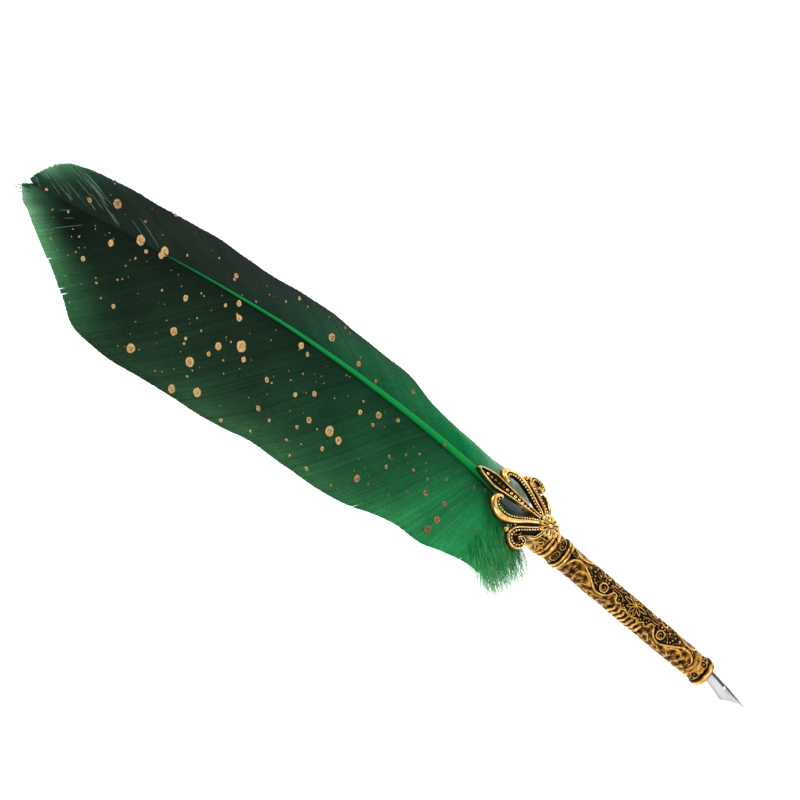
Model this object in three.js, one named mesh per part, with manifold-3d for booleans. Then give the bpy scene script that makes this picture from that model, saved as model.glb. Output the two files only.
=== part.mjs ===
// A quill pen: a steel dip nib pushed into a cast metal holder, with a fleur-de-lis crown
// and a dyed feather glued into its socket. Millimetres, +Z up the pen's axis, nib down.
// Heights are measured from the nib's point. The finished group is lowered so that the
// origin is the place on the axis where the fingers hold the pen.
import * as THREE from 'three';
import { mergeVertices } from 'three/addons/utils/BufferGeometryUtils.js';
import Module from 'manifold-3d';

const wasm = await Module();
wasm.setup();

// Driving dimensions
const GRIP_HEIGHT = 40;            // the grip, above the nib's point
const STACK_GAP = 0.2;             // between neighbours stacked on the axis
const FIT_GAP = 0.3;               // between crown pieces, and round whatever is cut or pushed in
const TURN_STEPS = 36;             // sides of a turned piece

// Nib
const NIB_EXPOSED = 19.4;          // point to the nose ring's face
const NIB_SEATED = 14.5;           // the butt's length inside the holder
const NIB_WALL = 0.3;
const NIB_BUTT_RADIUS = 2.6;
const NIB_SHOULDER_RADIUS = 3.3;
const NIB_SHOULDER_HEIGHT = 9.8;
const NIB_SHOULDER_HALF = 3.1;
const NIB_BUTT_HALF = 2.43;
const BREATHER_HEIGHT = 10.6;
const BREATHER_RADIUS = 0.5;
const SLIT_WIDTH = 0.12;

// Nose: the plug that the nib's butt grips, the ring and the collar round it
const PLUG_LENGTH = 15;
const PLUG_FLANGE_LENGTH = 7;
const NOSE_RING_RADIUS = 4.95;
const NOSE_RING_LENGTH = 2.2;
const COLLAR_RADIUS = 4.4;
const COLLAR_LENGTH = 5.4;

// Barrel and its bands
const BARREL_RADIUS = 4.6;
const BUTT_GAP = 0.4;              // round the nib's butt in the barrel's mouth
const NECK_GAP = 0.35;             // round the neck tube in the barrel's top and the bands
const BORE_STEP = 1;               // height of the cone between the barrel's two bores
const BARREL_LENGTH = 56.6;
const BAND_RING_RADIUS = 5.05;
const LOWER_RING_LENGTH = 2.4;
const SCROLL_BAND_RADIUS = 4.65;
const SCROLL_BAND_LENGTH = 2.9;
const UPPER_RING_LENGTH = 1.9;

// Neck tube and crown socket
const QUILL_RADIUS = 1.6;
const QUILL_FIT = 0.3;             // glue gap round the quill in its tube
const NECK_WALL = 0.75;
const NECK_IN_BARREL = 6;
const SOCKET_RADIUS = 5.4;
const SOCKET_LENGTH = 10.4;
const SOCKET_WALL = 0.9;
const SOCKET_CUP_DEPTH = 5;

// Crown
const CROWN_THICK = 2.2;
const CROWN_BOW = 0.018;           // how fast the crown wraps back, per mm of width
const ROSETTE_RADIUS = 4.05;
const ROSETTE_ABOVE_SOCKET = 4.9;  // rosette's centre above the socket's foot
const ROSETTE_PETALS = 11;
const ROSETTE_DEPTH = 1.5;
const ROSETTE_BOSS = 0.75;
const PETAL_LENGTH = 26.7;
const PETAL_HALF = 2.15;
const PETAL_FOOT_HALF = 0.55;
const PETAL_RIM = 0.4;
const PETAL_CHANNEL = 0.7;
const LOOP_WIDTH = 2.1;
const SCROLL_WIDTH = 1.6;
const LEAF_WIDTH = 1.2;
const BALL_RADIUS = 0.95;

// Feather
const FEATHER_RISE = 193.5;        // top of the socket to the end of the shaft
const VANE_THICK = 0.5;
const VANE_CAMBER = 0.0015;        // fall-back of the vane, per mm squared from the shaft
const WIDE_REACH = 48;             // wide vane, shaft to edge at its widest height
const NARROW_REACH = 14;
const DOWN_THICK = 2.4;
const DOWN_DROP = 13;              // how far the down hangs below the top of the socket
const DOWN_RISE = 8.5;
const NARROW_FOOT_GAP = 1;
const QUILL_HOLLOW_RADIUS = 1;
const QUILL_HOLLOW_RISE = 9;

// Heights that follow from the sizes above
const NOSE_FACE = NIB_EXPOSED;
const NOSE_RING_TOP = NOSE_FACE + NOSE_RING_LENGTH;
const COLLAR_FOOT = NOSE_RING_TOP + STACK_GAP;
const COLLAR_TOP = COLLAR_FOOT + COLLAR_LENGTH;
const BARREL_FOOT = COLLAR_TOP + STACK_GAP;
const BARREL_TOP = BARREL_FOOT + BARREL_LENGTH;
const LOWER_RING_FOOT = BARREL_TOP + STACK_GAP;
const SCROLL_BAND_FOOT = LOWER_RING_FOOT + LOWER_RING_LENGTH + STACK_GAP;
const UPPER_RING_FOOT = SCROLL_BAND_FOOT + SCROLL_BAND_LENGTH + STACK_GAP;
const SOCKET_FOOT = UPPER_RING_FOOT + UPPER_RING_LENGTH + STACK_GAP;
const SOCKET_TOP = SOCKET_FOOT + SOCKET_LENGTH;
const ROSETTE_HEIGHT = SOCKET_FOOT + ROSETTE_ABOVE_SOCKET;
const CROWN_MID = -(SOCKET_RADIUS + FIT_GAP + CROWN_THICK / 2);
const NECK_BORE = QUILL_RADIUS + QUILL_FIT;
const NECK_RADIUS = NECK_BORE + NECK_WALL;
const NOSE_BORE = NIB_BUTT_RADIUS + FIT_GAP;
const BARREL_BORE = NIB_BUTT_RADIUS + BUTT_GAP;
const RING_BORE = NECK_RADIUS + NECK_GAP;
const FEATHER_TOP = SOCKET_TOP + FEATHER_RISE;

const metal = (color) => new THREE.MeshStandardMaterial({ color, roughness: 0.35, metalness: 1 });
const soft = (color) => new THREE.MeshStandardMaterial({ color, roughness: 0.7, metalness: 0 });
const GOLD = 0xc08a35;
const pen = new THREE.Group();
pen.position.z = -GRIP_HEIGHT;

function place(name, geometry, material) {
  const mesh = new THREE.Mesh(geometry, material);
  mesh.name = name;
  pen.add(mesh);
  return mesh;
}

// Welds a geometry's corners and leaves out triangles that have shrunk to a line.
function weld(geometry) {
  const bare = geometry.clone();
  bare.deleteAttribute('normal');
  bare.deleteAttribute('uv');
  const merged = mergeVertices(bare);
  const kept = [];
  const source = merged.index.array;
  for (let i = 0; i < source.length; i += 3) {
    const [a, b, c] = [source[i], source[i + 1], source[i + 2]];
    if (a !== b && b !== c && c !== a) kept.push(a, b, c);
  }
  merged.setIndex(kept);
  return merged;
}

function volumeOf(geometry) {
  const at = geometry.attributes.position;
  const corners = [new THREE.Vector3(), new THREE.Vector3(), new THREE.Vector3()];
  let sum = 0;
  for (let i = 0; i < geometry.index.count; i += 3) {
    corners.forEach((corner, k) => corner.fromBufferAttribute(at, geometry.index.array[i + k]));
    sum += corners[0].dot(corners[1].clone().cross(corners[2])) / 6;
  }
  return sum;
}

// A closed skin over a row of rings with equal counts of points. The ends are closed by
// strips between point i and its partner on the ring's other side.
function skin(rings) {
  const count = rings[0].length;
  const positions = rings.flat().flatMap((point) => [point.x, point.y, point.z]);
  const faces = [];
  for (let r = 0; r < rings.length - 1; r += 1) {
    for (let i = 0; i < count; i += 1) {
      const a = r * count + i;
      const b = r * count + ((i + 1) % count);
      faces.push(a, b, b + count, a, b + count, a + count);
    }
  }
  const last = (rings.length - 1) * count;
  for (let i = 0; i < count / 2 - 1; i += 1) {
    const partner = count - 1 - i;
    faces.push(i, partner, i + 1, i + 1, partner, partner - 1);
    faces.push(last + i, last + i + 1, last + partner);
    faces.push(last + i + 1, last + partner - 1, last + partner);
  }
  const geometry = new THREE.BufferGeometry();
  geometry.setAttribute('position', new THREE.Float32BufferAttribute(positions, 3));
  geometry.setIndex(faces);
  const welded = weld(geometry);
  if (volumeOf(welded) < 0) welded.index.array.reverse();
  welded.computeVertexNormals();
  return welded;
}

// A turned piece: its profile is [radius, height] pairs, up the outside and down the bore.
function turned(profile, steps = TURN_STEPS) {
  const points = profile.map(([radius, height]) => new THREE.Vector2(radius, height));
  return new THREE.LatheGeometry(points, steps).rotateX(Math.PI / 2);
}

function tube(outside, bore, foot, top) {
  return turned([[bore, foot], ...outside, [bore, top], [bore, foot]]);
}

// Half-round beads round a ring, as a profile from its foot to its top.
function beadProfile(radius, depth, foot, length, beads) {
  const profile = [];
  const arcSteps = 6;
  for (let b = 0; b < beads; b += 1) {
    for (let k = b ? 1 : 0; k <= arcSteps; k += 1) {
      const turn = (k / arcSteps) * Math.PI;
      const height = foot + (length / beads) * (b + 0.5 - 0.5 * Math.cos(turn));
      profile.push([radius - depth * (1 - Math.sin(turn)), height]);
    }
  }
  return profile;
}

// A smooth curve through [x, value] knots, read at any x.
function through(knots) {
  const slope = knots.map((knot, i) => {
    const before = knots[Math.max(i - 1, 0)];
    const after = knots[Math.min(i + 1, knots.length - 1)];
    return (after[1] - before[1]) / (after[0] - before[0]);
  });
  return (x) => {
    const found = knots.findIndex((knot) => knot[0] > x);
    const i = found < 0 ? knots.length - 2 : Math.max(found - 1, 0);
    const span = knots[i + 1][0] - knots[i][0];
    const t = THREE.MathUtils.clamp((x - knots[i][0]) / span, 0, 1);
    const rise = knots[i][1] * (2 * t ** 3 - 3 * t * t + 1) + knots[i + 1][1] * (3 * t * t - 2 * t ** 3);
    return rise + span * (slope[i] * (t ** 3 - 2 * t * t + t) + slope[i + 1] * (t ** 3 - t * t));
  };
}

function manifoldOf(geometry) {
  const welded = weld(geometry);
  return new wasm.Manifold(new wasm.Mesh({
    numProp: 3,
    vertProperties: new Float32Array(welded.attributes.position.array),
    triVerts: new Uint32Array(welded.index.array),
  }));
}

function cutFrom(geometry, ...tools) {
  let body = manifoldOf(geometry);
  for (const tool of tools) body = body.subtract(manifoldOf(tool));
  const mesh = body.getMesh();
  const result = new THREE.BufferGeometry();
  result.setAttribute('position', new THREE.Float32BufferAttribute(mesh.vertProperties, 3));
  result.setIndex([...mesh.triVerts]);
  result.computeVertexNormals();
  return result;
}

// Nib: a curved steel sheet, widest at the shoulders, with a slit up to its breather hole.
function makeNib() {
  const top = NIB_EXPOSED + NIB_SEATED;
  const seat = NIB_EXPOSED - 1;
  const shoulder = NIB_SHOULDER_HEIGHT;
  const half = through([
    [0, 0.16], [0.3 * shoulder, 0.85], [0.62 * shoulder, 1.95], [0.88 * shoulder, 0.96 * NIB_SHOULDER_HALF],
    [shoulder, NIB_SHOULDER_HALF], [1.3 * shoulder, 2.85], [seat, NIB_BUTT_HALF], [top, NIB_BUTT_HALF],
  ]);
  const radius = through([
    [0, NIB_SHOULDER_RADIUS], [shoulder, NIB_SHOULDER_RADIUS], [seat, NIB_BUTT_RADIUS], [top, NIB_BUTT_RADIUS],
  ]);
  const crest = through([
    [0, 0], [shoulder, -0.42 * NIB_BUTT_RADIUS], [seat, -NIB_BUTT_RADIUS], [top, -NIB_BUTT_RADIUS],
  ]);
  const heights = [0, 1.2, 2.6, 4, 5.4, 6.8, 8, 9, 9.8, 10.8, 12, 13.5, 15, 16.7]
    .map((height) => (height * shoulder) / 9.8)
    .concat([seat, NOSE_FACE + 2, top]);
  const across = 9;
  const rings = heights.map((height) => {
    const outer = radius(height);
    const reach = Math.asin(Math.min(half(height) / outer, 1));
    const ring = [];
    for (const [side, r] of [[1, outer], [-1, outer - NIB_WALL]]) {
      for (let i = 0; i < across; i += 1) {
        const turn = side * reach * ((2 * i) / (across - 1) - 1);
        ring.push(new THREE.Vector3(r * Math.sin(turn), crest(height) + outer - r * Math.cos(turn), height));
      }
    }
    return ring;
  });
  const slit = new THREE.BoxGeometry(SLIT_WIDTH, 4, BREATHER_HEIGHT + 2);
  slit.translate(0, 0, BREATHER_HEIGHT / 2 - 1);
  const breather = new THREE.CylinderGeometry(BREATHER_RADIUS, BREATHER_RADIUS, 8, 20);
  breather.translate(0, 0, BREATHER_HEIGHT);
  return cutFrom(skin(rings), slit, breather);
}

// Nib plug: the pin inside the nose that the nib's butt grips, with a flange in the barrel.
function makeNibPlug() {
  const pin = NIB_BUTT_RADIUS - NIB_WALL - FIT_GAP;
  const foot = NOSE_FACE + NOSE_RING_LENGTH / 2;
  const step = Math.max(foot + PLUG_LENGTH, NIB_EXPOSED + NIB_SEATED + FIT_GAP);
  const top = step + PLUG_FLANGE_LENGTH;
  const flange = BARREL_BORE - FIT_GAP / 2;
  const chamfer = 0.5;
  return turned([
    [0, foot], [pin - chamfer, foot], [pin, foot + chamfer], [pin, step],
    [flange, step], [flange, top], [0, top],
  ], 24);
}

function makeNoseRing() {
  const outside = beadProfile(NOSE_RING_RADIUS, 0.85, NOSE_FACE, NOSE_RING_LENGTH, 1);
  return tube(outside, NOSE_BORE, NOSE_FACE, NOSE_RING_TOP);
}

function makeCollar() {
  const waist = COLLAR_RADIUS - 0.35;
  const outside = [
    [waist, COLLAR_FOOT], [COLLAR_RADIUS, COLLAR_FOOT + 1.2],
    [COLLAR_RADIUS, COLLAR_TOP - 1.2], [waist, COLLAR_TOP],
  ];
  return tube(outside, NOSE_BORE, COLLAR_FOOT, COLLAR_TOP);
}

function makeBarrel() {
  const edge = 0.4;
  const outside = [
    [BARREL_RADIUS - edge, BARREL_FOOT], [BARREL_RADIUS, BARREL_FOOT + edge],
    [BARREL_RADIUS, BARREL_TOP - edge], [BARREL_RADIUS - edge, BARREL_TOP],
  ];
  const neckFoot = BARREL_TOP - NECK_IN_BARREL - BORE_STEP;
  return turned([
    [BARREL_BORE, BARREL_FOOT], ...outside, [RING_BORE, BARREL_TOP],
    [RING_BORE, neckFoot], [BARREL_BORE, neckFoot - BORE_STEP], [BARREL_BORE, BARREL_FOOT],
  ], TURN_STEPS);
}

function makeBandRing(foot, length, beads) {
  const outside = beadProfile(BAND_RING_RADIUS, 0.6, foot, length, beads);
  return tube(outside, RING_BORE, foot, foot + length);
}

function makeScrollBand() {
  const outside = [
    [SCROLL_BAND_RADIUS, SCROLL_BAND_FOOT], [SCROLL_BAND_RADIUS, SCROLL_BAND_FOOT + SCROLL_BAND_LENGTH],
  ];
  return tube(outside, RING_BORE, SCROLL_BAND_FOOT, SCROLL_BAND_FOOT + SCROLL_BAND_LENGTH);
}

function makeNeckTube() {
  const foot = BARREL_TOP - NECK_IN_BARREL;
  const top = SOCKET_TOP - SOCKET_CUP_DEPTH;
  return turned([
    [NECK_BORE, foot], [NECK_RADIUS, foot], [NECK_RADIUS, top], [NECK_BORE, top], [NECK_BORE, foot],
  ], 24);
}

// Crown socket: a sleeve over the neck tube that opens into a cup round the bare quill.
function makeSocket() {
  const floor = SOCKET_TOP - SOCKET_CUP_DEPTH;
  const cup = SOCKET_RADIUS - SOCKET_WALL;
  return turned([
    [RING_BORE, SOCKET_FOOT], [SOCKET_RADIUS - 0.5, SOCKET_FOOT], [SOCKET_RADIUS, SOCKET_FOOT + 1.5],
    [SOCKET_RADIUS, SOCKET_TOP - 0.4], [SOCKET_RADIUS - 0.4, SOCKET_TOP], [cup, SOCKET_TOP],
    [cup - 0.6, floor], [RING_BORE, floor], [RING_BORE, SOCKET_FOOT],
  ]);
}

// The crown's pieces stand on a surface in front of the socket that bows back to each side.
const crownFace = (x) => CROWN_MID + CROWN_BOW * x * x;

function makeRosette() {
  const back = CROWN_MID + CROWN_THICK / 2 - 0.6;
  const front = back - ROSETTE_DEPTH;
  const steps = ROSETTE_PETALS * 4;
  const ringAt = (radius, y, scallop) => Array.from({ length: steps }, (_, i) => {
    const turn = (2 * Math.PI * (i + 0.5)) / steps;
    const reach = radius * (1 - scallop * (1 - Math.abs(Math.cos((ROSETTE_PETALS * turn) / 2))));
    return new THREE.Vector3(reach * Math.cos(turn), y, ROSETTE_HEIGHT + reach * Math.sin(turn));
  });
  return skin([
    ringAt(ROSETTE_RADIUS, back, 0.12), ringAt(ROSETTE_RADIUS, front + 0.4, 0.12),
    ringAt(0.88 * ROSETTE_RADIUS, front, 0.12), ringAt(0.35 * ROSETTE_RADIUS, front + 0.5, 0),
    ringAt(ROSETTE_BOSS + 0.2, front + 0.3, 0), ringAt(0.6 * ROSETTE_BOSS, front - 0.3, 0),
  ]);
}

// Centre petal: a lance-shaped bar with a sunk channel down its front.
const PETAL_FOOT = ROSETTE_HEIGHT + ROSETTE_RADIUS + FIT_GAP + 0.25;
const petalHalf = through([
  [0, PETAL_FOOT_HALF], [0.24 * PETAL_LENGTH, 0.44 * PETAL_HALF], [0.49 * PETAL_LENGTH, 0.7 * PETAL_HALF],
  [0.63 * PETAL_LENGTH, 0.91 * PETAL_HALF], [0.73 * PETAL_LENGTH, PETAL_HALF],
  [0.87 * PETAL_LENGTH, 0.58 * PETAL_HALF], [PETAL_LENGTH, 0.08],
]);

function makePetal() {
  const rings = [];
  const rows = 14;
  const front = -CROWN_THICK / 2;
  for (let row = 0; row <= rows; row += 1) {
    const rise = (row / rows) * PETAL_LENGTH;
    const half = petalHalf(rise);
    const rim = Math.min(PETAL_RIM, half / 3);
    const lip = Math.min(rim * 1.4, half / 2);
    const depth = PETAL_CHANNEL * Math.min(1, half / PETAL_FOOT_HALF - 0.14);
    const floor = front + Math.max(depth, 0.02);
    const section = [
      [-half, front], [-half + rim, front], [-half + lip, floor],
      [half - lip, floor], [half - rim, front], [half, front],
    ];
    const ring = section.map(([x, y]) => new THREE.Vector3(x, crownFace(x) + y, PETAL_FOOT + rise));
    for (const [x] of [...section].reverse()) {
      ring.push(new THREE.Vector3(x, crownFace(x) - front, PETAL_FOOT + rise));
    }
    rings.push(ring);
  }
  return skin(rings);
}

// A band with chamfered edges along a route of [x, height] points on the crown's face.
// width is a function of the share of the route from 0 to 1, side is -1 or 1.
function bandOnCrown(route, width, side, steps) {
  const line = new THREE.CatmullRomCurve3(
    route.map(([x, height]) => new THREE.Vector3(side * x, crownFace(x), height)),
  );
  const rings = [];
  for (let step = 0; step <= steps; step += 1) {
    const share = step / steps;
    const centre = line.getPointAt(share);
    const back = new THREE.Vector3(-2 * CROWN_BOW * centre.x, 1, 0).normalize();
    const across = line.getTangentAt(share).cross(back).normalize();
    const w = width(share) / 2;
    const t = CROWN_THICK / 2;
    const edge = 0.5 * Math.min(w, t);
    const section = [
      [-w, edge - t], [-w + edge, -t], [w - edge, -t], [w, edge - t],
      [w, t - edge], [w - edge, t], [-w + edge, t], [-w, t - edge],
    ];
    rings.push(section.map(([u, v]) => centre.clone().addScaledVector(across, u).addScaledVector(back, v)));
  }
  return skin(rings);
}

// Routes for the right-hand side, heights from the rosette's centre.
const onCrown = (points) => points.map(([x, rise]) => [x, ROSETTE_HEIGHT + rise]);
const BASE_CLEAR = ROSETTE_RADIUS + FIT_GAP;
const LOOP_ROUTE = onCrown([
  [0.42 * BASE_CLEAR, 1.14 * BASE_CLEAR], [3.6, 8], [5.4, 10.8], [6.9, 13.7], [7.55, 16.3],
  [7.35, 18.6], [6.4, 20.5], [5, 21.4], [3.75, 20.9], [3.05, 19.5],
]);
const SCROLL_ROUTE = onCrown([
  [0.9 * BASE_CLEAR, 0.87 * BASE_CLEAR], [5.4, 5.9], [7, 8.3], [8.4, 10.1], [10, 10.9], [11.4, 10.4],
  [12.2, 8.9], [12.1, 7.2], [11.2, 6], [10, 5.9], [9.4, 6.8], [9.9, 7.9],
]);
const LEAF_ROUTE = onCrown([[8.1, 5.9], [7.6, 4.4], [6.7, 3.1], [5.6, 2.2]]);
const BALL_AT = [9.9, ROSETTE_HEIGHT + 10.9 + SCROLL_WIDTH / 2 + FIT_GAP + BALL_RADIUS];

function makeBall(side) {
  const [x, height] = BALL_AT;
  return new THREE.SphereGeometry(BALL_RADIUS, 16, 10).translate(side * x, crownFace(x), height);
}

// Feather: the shaft leans out behind the centre petal, then sweeps back and to the left.
const shaftX = through([
  [0, 0], [12, 0.3], [25, 0.5], [60, 0.3], [97, -2.1], [123, -5.5], [147, -9.5], [172, -13.9], [194, -18],
]);
const shaftY = through([
  [-14, 0], [-3, 0], [6, -1.6], [15, -3.2], [25, -3.9], [40, -4.3], [60, -4.1], [97, -3.2], [123, -2],
  [147, -0.5], [172, 1.4], [194, 3.4],
]);
const shaftRadius = through([
  [-14, 0.85 * QUILL_RADIUS], [-6, QUILL_RADIUS], [10, QUILL_RADIUS], [25, 0.86 * QUILL_RADIUS],
  [60, 0.72 * QUILL_RADIUS], [97, 0.54 * QUILL_RADIUS], [147, 0.34 * QUILL_RADIUS], [194, 0.16 * QUILL_RADIUS],
]);
// The curves above are drawn for this rise, and stretch with the feather.
const DRAWN_RISE = 193.5;
const drawn = (rise) => (rise < 25 ? rise : 25 + ((rise - 25) * (DRAWN_RISE - 25)) / (FEATHER_RISE - 25));
const stretched = (rise) => (rise < 25 ? rise : 25 + ((rise - 25) * (FEATHER_RISE - 25)) / (DRAWN_RISE - 25));

function shaftRing(rise, radius, sides) {
  return Array.from({ length: sides }, (_, i) => {
    const turn = (2 * Math.PI * (i + 0.5)) / sides;
    return new THREE.Vector3(
      shaftX(drawn(rise)) + radius * Math.cos(turn),
      shaftY(drawn(rise)) + radius * Math.sin(turn),
      SOCKET_TOP + rise,
    );
  });
}

function makeShaft() {
  const foot = NECK_IN_BARREL - 2;
  const first = BARREL_TOP - foot - SOCKET_TOP;
  const rises = [first, -6, -2, 2, 6, 10, 15, 20, 26, 34, 44, 56, 70, 85, 100, 115, 130, 145, 160, 172, 184];
  const rings = rises.map((rise) => shaftRing(stretched(rise), shaftRadius(rise), 12));
  rings.push(shaftRing(FEATHER_RISE - 2, 0.16 * QUILL_RADIUS, 12));
  const hollow = [first - 1, -6, -2, 2, 6, QUILL_HOLLOW_RISE]
    .map((rise) => shaftRing(rise, QUILL_HOLLOW_RADIUS, 10));
  return cutFrom(skin(rings), skin(hollow));
}

// A vane or down plate between two edges, cambered back from the shaft.
function makePlate(rises, inner, outer, thick, camber, columns = 6) {
  const rings = rises.map((rise) => {
    const height = stretched(rise);
    const from = inner(rise);
    const to = outer(rise);
    const line = Array.from({ length: columns + 1 }, (_, i) => {
      const x = from + ((to - from) * i) / columns;
      const away = x - shaftX(rise);
      return [x, shaftY(rise) + camber * away * away];
    });
    const front = line.map(([x, y]) => new THREE.Vector3(x, y - thick / 2, SOCKET_TOP + height));
    const back = line.reverse().map(([x, y]) => new THREE.Vector3(x, y + thick / 2, SOCKET_TOP + height));
    return [...front, ...back];
  });
  return skin(rings);
}

// Edges by rise above the socket, for vanes of the drawn reach.
const wideEdge = through([
  [9.2, -25.6], [15, -26.4], [22, -28.3], [32, -31.4], [44, -32.6], [62, -38.1], [75, -39.6], [87, -40.5],
  [98, -41.4], [107, -43.4], [131, -46.3], [142, -47.7], [151, -47.9], [160, -46.6], [166, -42], [171, -37.6],
  [183, -29], [188, -25], [190, -23.7], [192.4, -19.4],
]);
const narrowEdge = through([
  [NARROW_FOOT_GAP, 4.6], [15, 6.3], [30, 7.6], [46, 8.6], [57, 11.2], [72, 11.5], [90, 11.4], [104, 9.8],
  [115, 8.3], [131, 7.2], [148, 4.6], [167, 1.4], [184, -3.8], [188, -8.4], [191, -13.5],
]);
const DRAWN_WIDE = 48;
const DRAWN_NARROW = 14;

function makeWideVane() {
  const first = DOWN_RISE + 0.4;
  const rises = [first, 15, 22, 32, 44, 53, 62, 75, 87, 98, 107, 119, 131, 142, 151, 157, 161, 166, 171, 177,
    183, 188, 190, 192];
  const inner = (rise) => shaftX(rise) - shaftRadius(rise) - FIT_GAP;
  const outer = (rise) => shaftX(rise) + ((wideEdge(rise) - shaftX(rise)) * WIDE_REACH) / DRAWN_WIDE;
  return makePlate(rises, inner, outer, VANE_THICK, VANE_CAMBER);
}

function makeNarrowVane() {
  const rises = [NARROW_FOOT_GAP, 6, 10, 15, 22, 30, 38, 46, 57, 72, 90, 104, 115, 131, 148, 158, 167, 176,
    184, 188, 190];
  const inner = (rise) => shaftX(rise) + shaftRadius(rise) + FIT_GAP;
  const outer = (rise) => shaftX(rise) + ((narrowEdge(rise) - shaftX(rise)) * NARROW_REACH) / DRAWN_NARROW;
  return makePlate(rises, inner, outer, VANE_THICK, VANE_CAMBER, 3);
}

// Down: the loose tuft at the wide vane's foot, which droops past the crown's left side.
function makeDown() {
  const clearSocket = SOCKET_RADIUS + 1;
  const inner = through([
    [-DOWN_DROP, -19.5], [-0.7 * DOWN_DROP, -15], [-0.3 * DOWN_DROP, -10], [0, -clearSocket],
    [1.5, -QUILL_RADIUS - FIT_GAP - 0.5], [DOWN_RISE, -QUILL_RADIUS - FIT_GAP - 0.2],
  ]);
  const outer = through([
    [-DOWN_DROP, -22], [-0.6 * DOWN_DROP, -23.6], [0, -25], [DOWN_RISE, -25.6],
  ]);
  const rises = [-DOWN_DROP, -0.8 * DOWN_DROP, -0.6 * DOWN_DROP, -0.3 * DOWN_DROP, 0, 1.5, 4, DOWN_RISE];
  return makePlate(rises, inner, outer, DOWN_THICK, 3 * VANE_CAMBER);
}

place('nib', makeNib(), metal(0xc9ccd0));
place('nib_plug', makeNibPlug(), soft(0x262423));
place('nose_ring', makeNoseRing(), metal(GOLD));
place('nose_collar', makeCollar(), metal(GOLD));
place('barrel', makeBarrel(), metal(GOLD));
place('lower_ring', makeBandRing(LOWER_RING_FOOT, LOWER_RING_LENGTH, 2), metal(GOLD));
place('scroll_band', makeScrollBand(), metal(GOLD));
place('upper_ring', makeBandRing(UPPER_RING_FOOT, UPPER_RING_LENGTH, 1), metal(GOLD));
place('neck_tube', makeNeckTube(), metal(0xb9a77a));
place('crown_socket', makeSocket(), metal(GOLD));
place('rosette', makeRosette(), metal(GOLD));
place('centre_petal', makePetal(), metal(GOLD));
for (const [word, side] of [['left', -1], ['right', 1]]) {
  const loopWidth = (share) => LOOP_WIDTH * (0.66 + 0.34 * Math.sin(Math.PI * Math.min(1, share * 1.1)));
  const scrollWidth = (share) => SCROLL_WIDTH * (share < 0.6 ? 1 : 1 - 0.9 * (share - 0.6));
  const leafWidth = (share) => LEAF_WIDTH * (0.4 + 0.6 * Math.sin((Math.PI / 2) * share));
  place(`${word}_loop`, bandOnCrown(LOOP_ROUTE, loopWidth, side, 28), metal(GOLD));
  place(`${word}_scroll`, bandOnCrown(SCROLL_ROUTE, scrollWidth, side, 40), metal(GOLD));
  place(`${word}_leaf`, bandOnCrown(LEAF_ROUTE, leafWidth, side, 8), metal(GOLD));
  place(`${word}_ball`, makeBall(side), metal(GOLD));
}
place('quill_shaft', makeShaft(), soft(0x128a45));
place('wide_vane', makeWideVane(), soft(0x1b5a35));
place('narrow_vane', makeNarrowVane(), soft(0x1f6b3e));
place('wide_down', makeDown(), soft(0x35a866));

export default pen;
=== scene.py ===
import math

import bmesh
import bpy
import numpy as np
from mathutils import Matrix, Vector


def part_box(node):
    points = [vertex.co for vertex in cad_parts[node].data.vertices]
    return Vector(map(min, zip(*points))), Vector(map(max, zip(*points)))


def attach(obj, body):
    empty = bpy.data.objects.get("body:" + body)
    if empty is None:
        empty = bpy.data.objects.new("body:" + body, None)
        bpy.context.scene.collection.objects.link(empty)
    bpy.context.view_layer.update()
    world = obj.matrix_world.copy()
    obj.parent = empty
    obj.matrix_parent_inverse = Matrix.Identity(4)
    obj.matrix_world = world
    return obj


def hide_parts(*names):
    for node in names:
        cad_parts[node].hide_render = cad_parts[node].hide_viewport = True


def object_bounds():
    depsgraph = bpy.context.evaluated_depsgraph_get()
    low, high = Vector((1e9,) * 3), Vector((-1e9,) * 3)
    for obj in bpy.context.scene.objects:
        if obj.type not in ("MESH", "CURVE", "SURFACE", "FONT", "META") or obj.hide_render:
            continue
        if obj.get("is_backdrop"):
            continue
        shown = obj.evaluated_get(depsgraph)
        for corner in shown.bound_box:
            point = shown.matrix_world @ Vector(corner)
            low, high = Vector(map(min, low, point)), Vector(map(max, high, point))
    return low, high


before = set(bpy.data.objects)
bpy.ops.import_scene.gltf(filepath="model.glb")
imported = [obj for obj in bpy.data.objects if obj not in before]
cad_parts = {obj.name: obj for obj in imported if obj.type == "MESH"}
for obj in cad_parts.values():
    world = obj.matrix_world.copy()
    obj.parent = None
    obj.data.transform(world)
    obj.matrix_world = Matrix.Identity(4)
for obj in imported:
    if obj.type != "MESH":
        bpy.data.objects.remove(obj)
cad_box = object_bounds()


# ---------------------------------------------------------------------------
# Camera, floor and lights. The pen stands on its axis, nib down, over a pale satin floor, and
# the camera is turned on its side so that the feather leans to the upper left.
# ---------------------------------------------------------------------------
MM = 0.001
NIB_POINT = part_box("nib")[0].z     # metres; every height below is in millimetres above it
AIM = Vector((2.6, -4.0, 120.3)) * MM
EYE = Vector((-563.3, -747.5, 517.6)) * MM
ROLL = math.radians(-50.0)
LENS = 152.5


def put(name, data):
    """A new object in the scene."""
    made = bpy.data.objects.new(name, data)
    bpy.context.scene.collection.objects.link(made)
    return made


back = (EYE - AIM).normalized()
level_right = Vector((0, 0, 1)).cross(back).normalized()
level_up = back.cross(level_right)
view_right = level_right * math.cos(ROLL) + level_up * math.sin(ROLL)
view_up = back.cross(view_right)
camera = put("camera", bpy.data.cameras.new("camera"))
camera.matrix_world = Matrix.Translation(EYE) @ Matrix((view_right, view_up, back)).transposed().to_4x4()
camera.data.lens = LENS
camera.data.sensor_width = 36
bpy.context.scene.camera = camera


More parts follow.
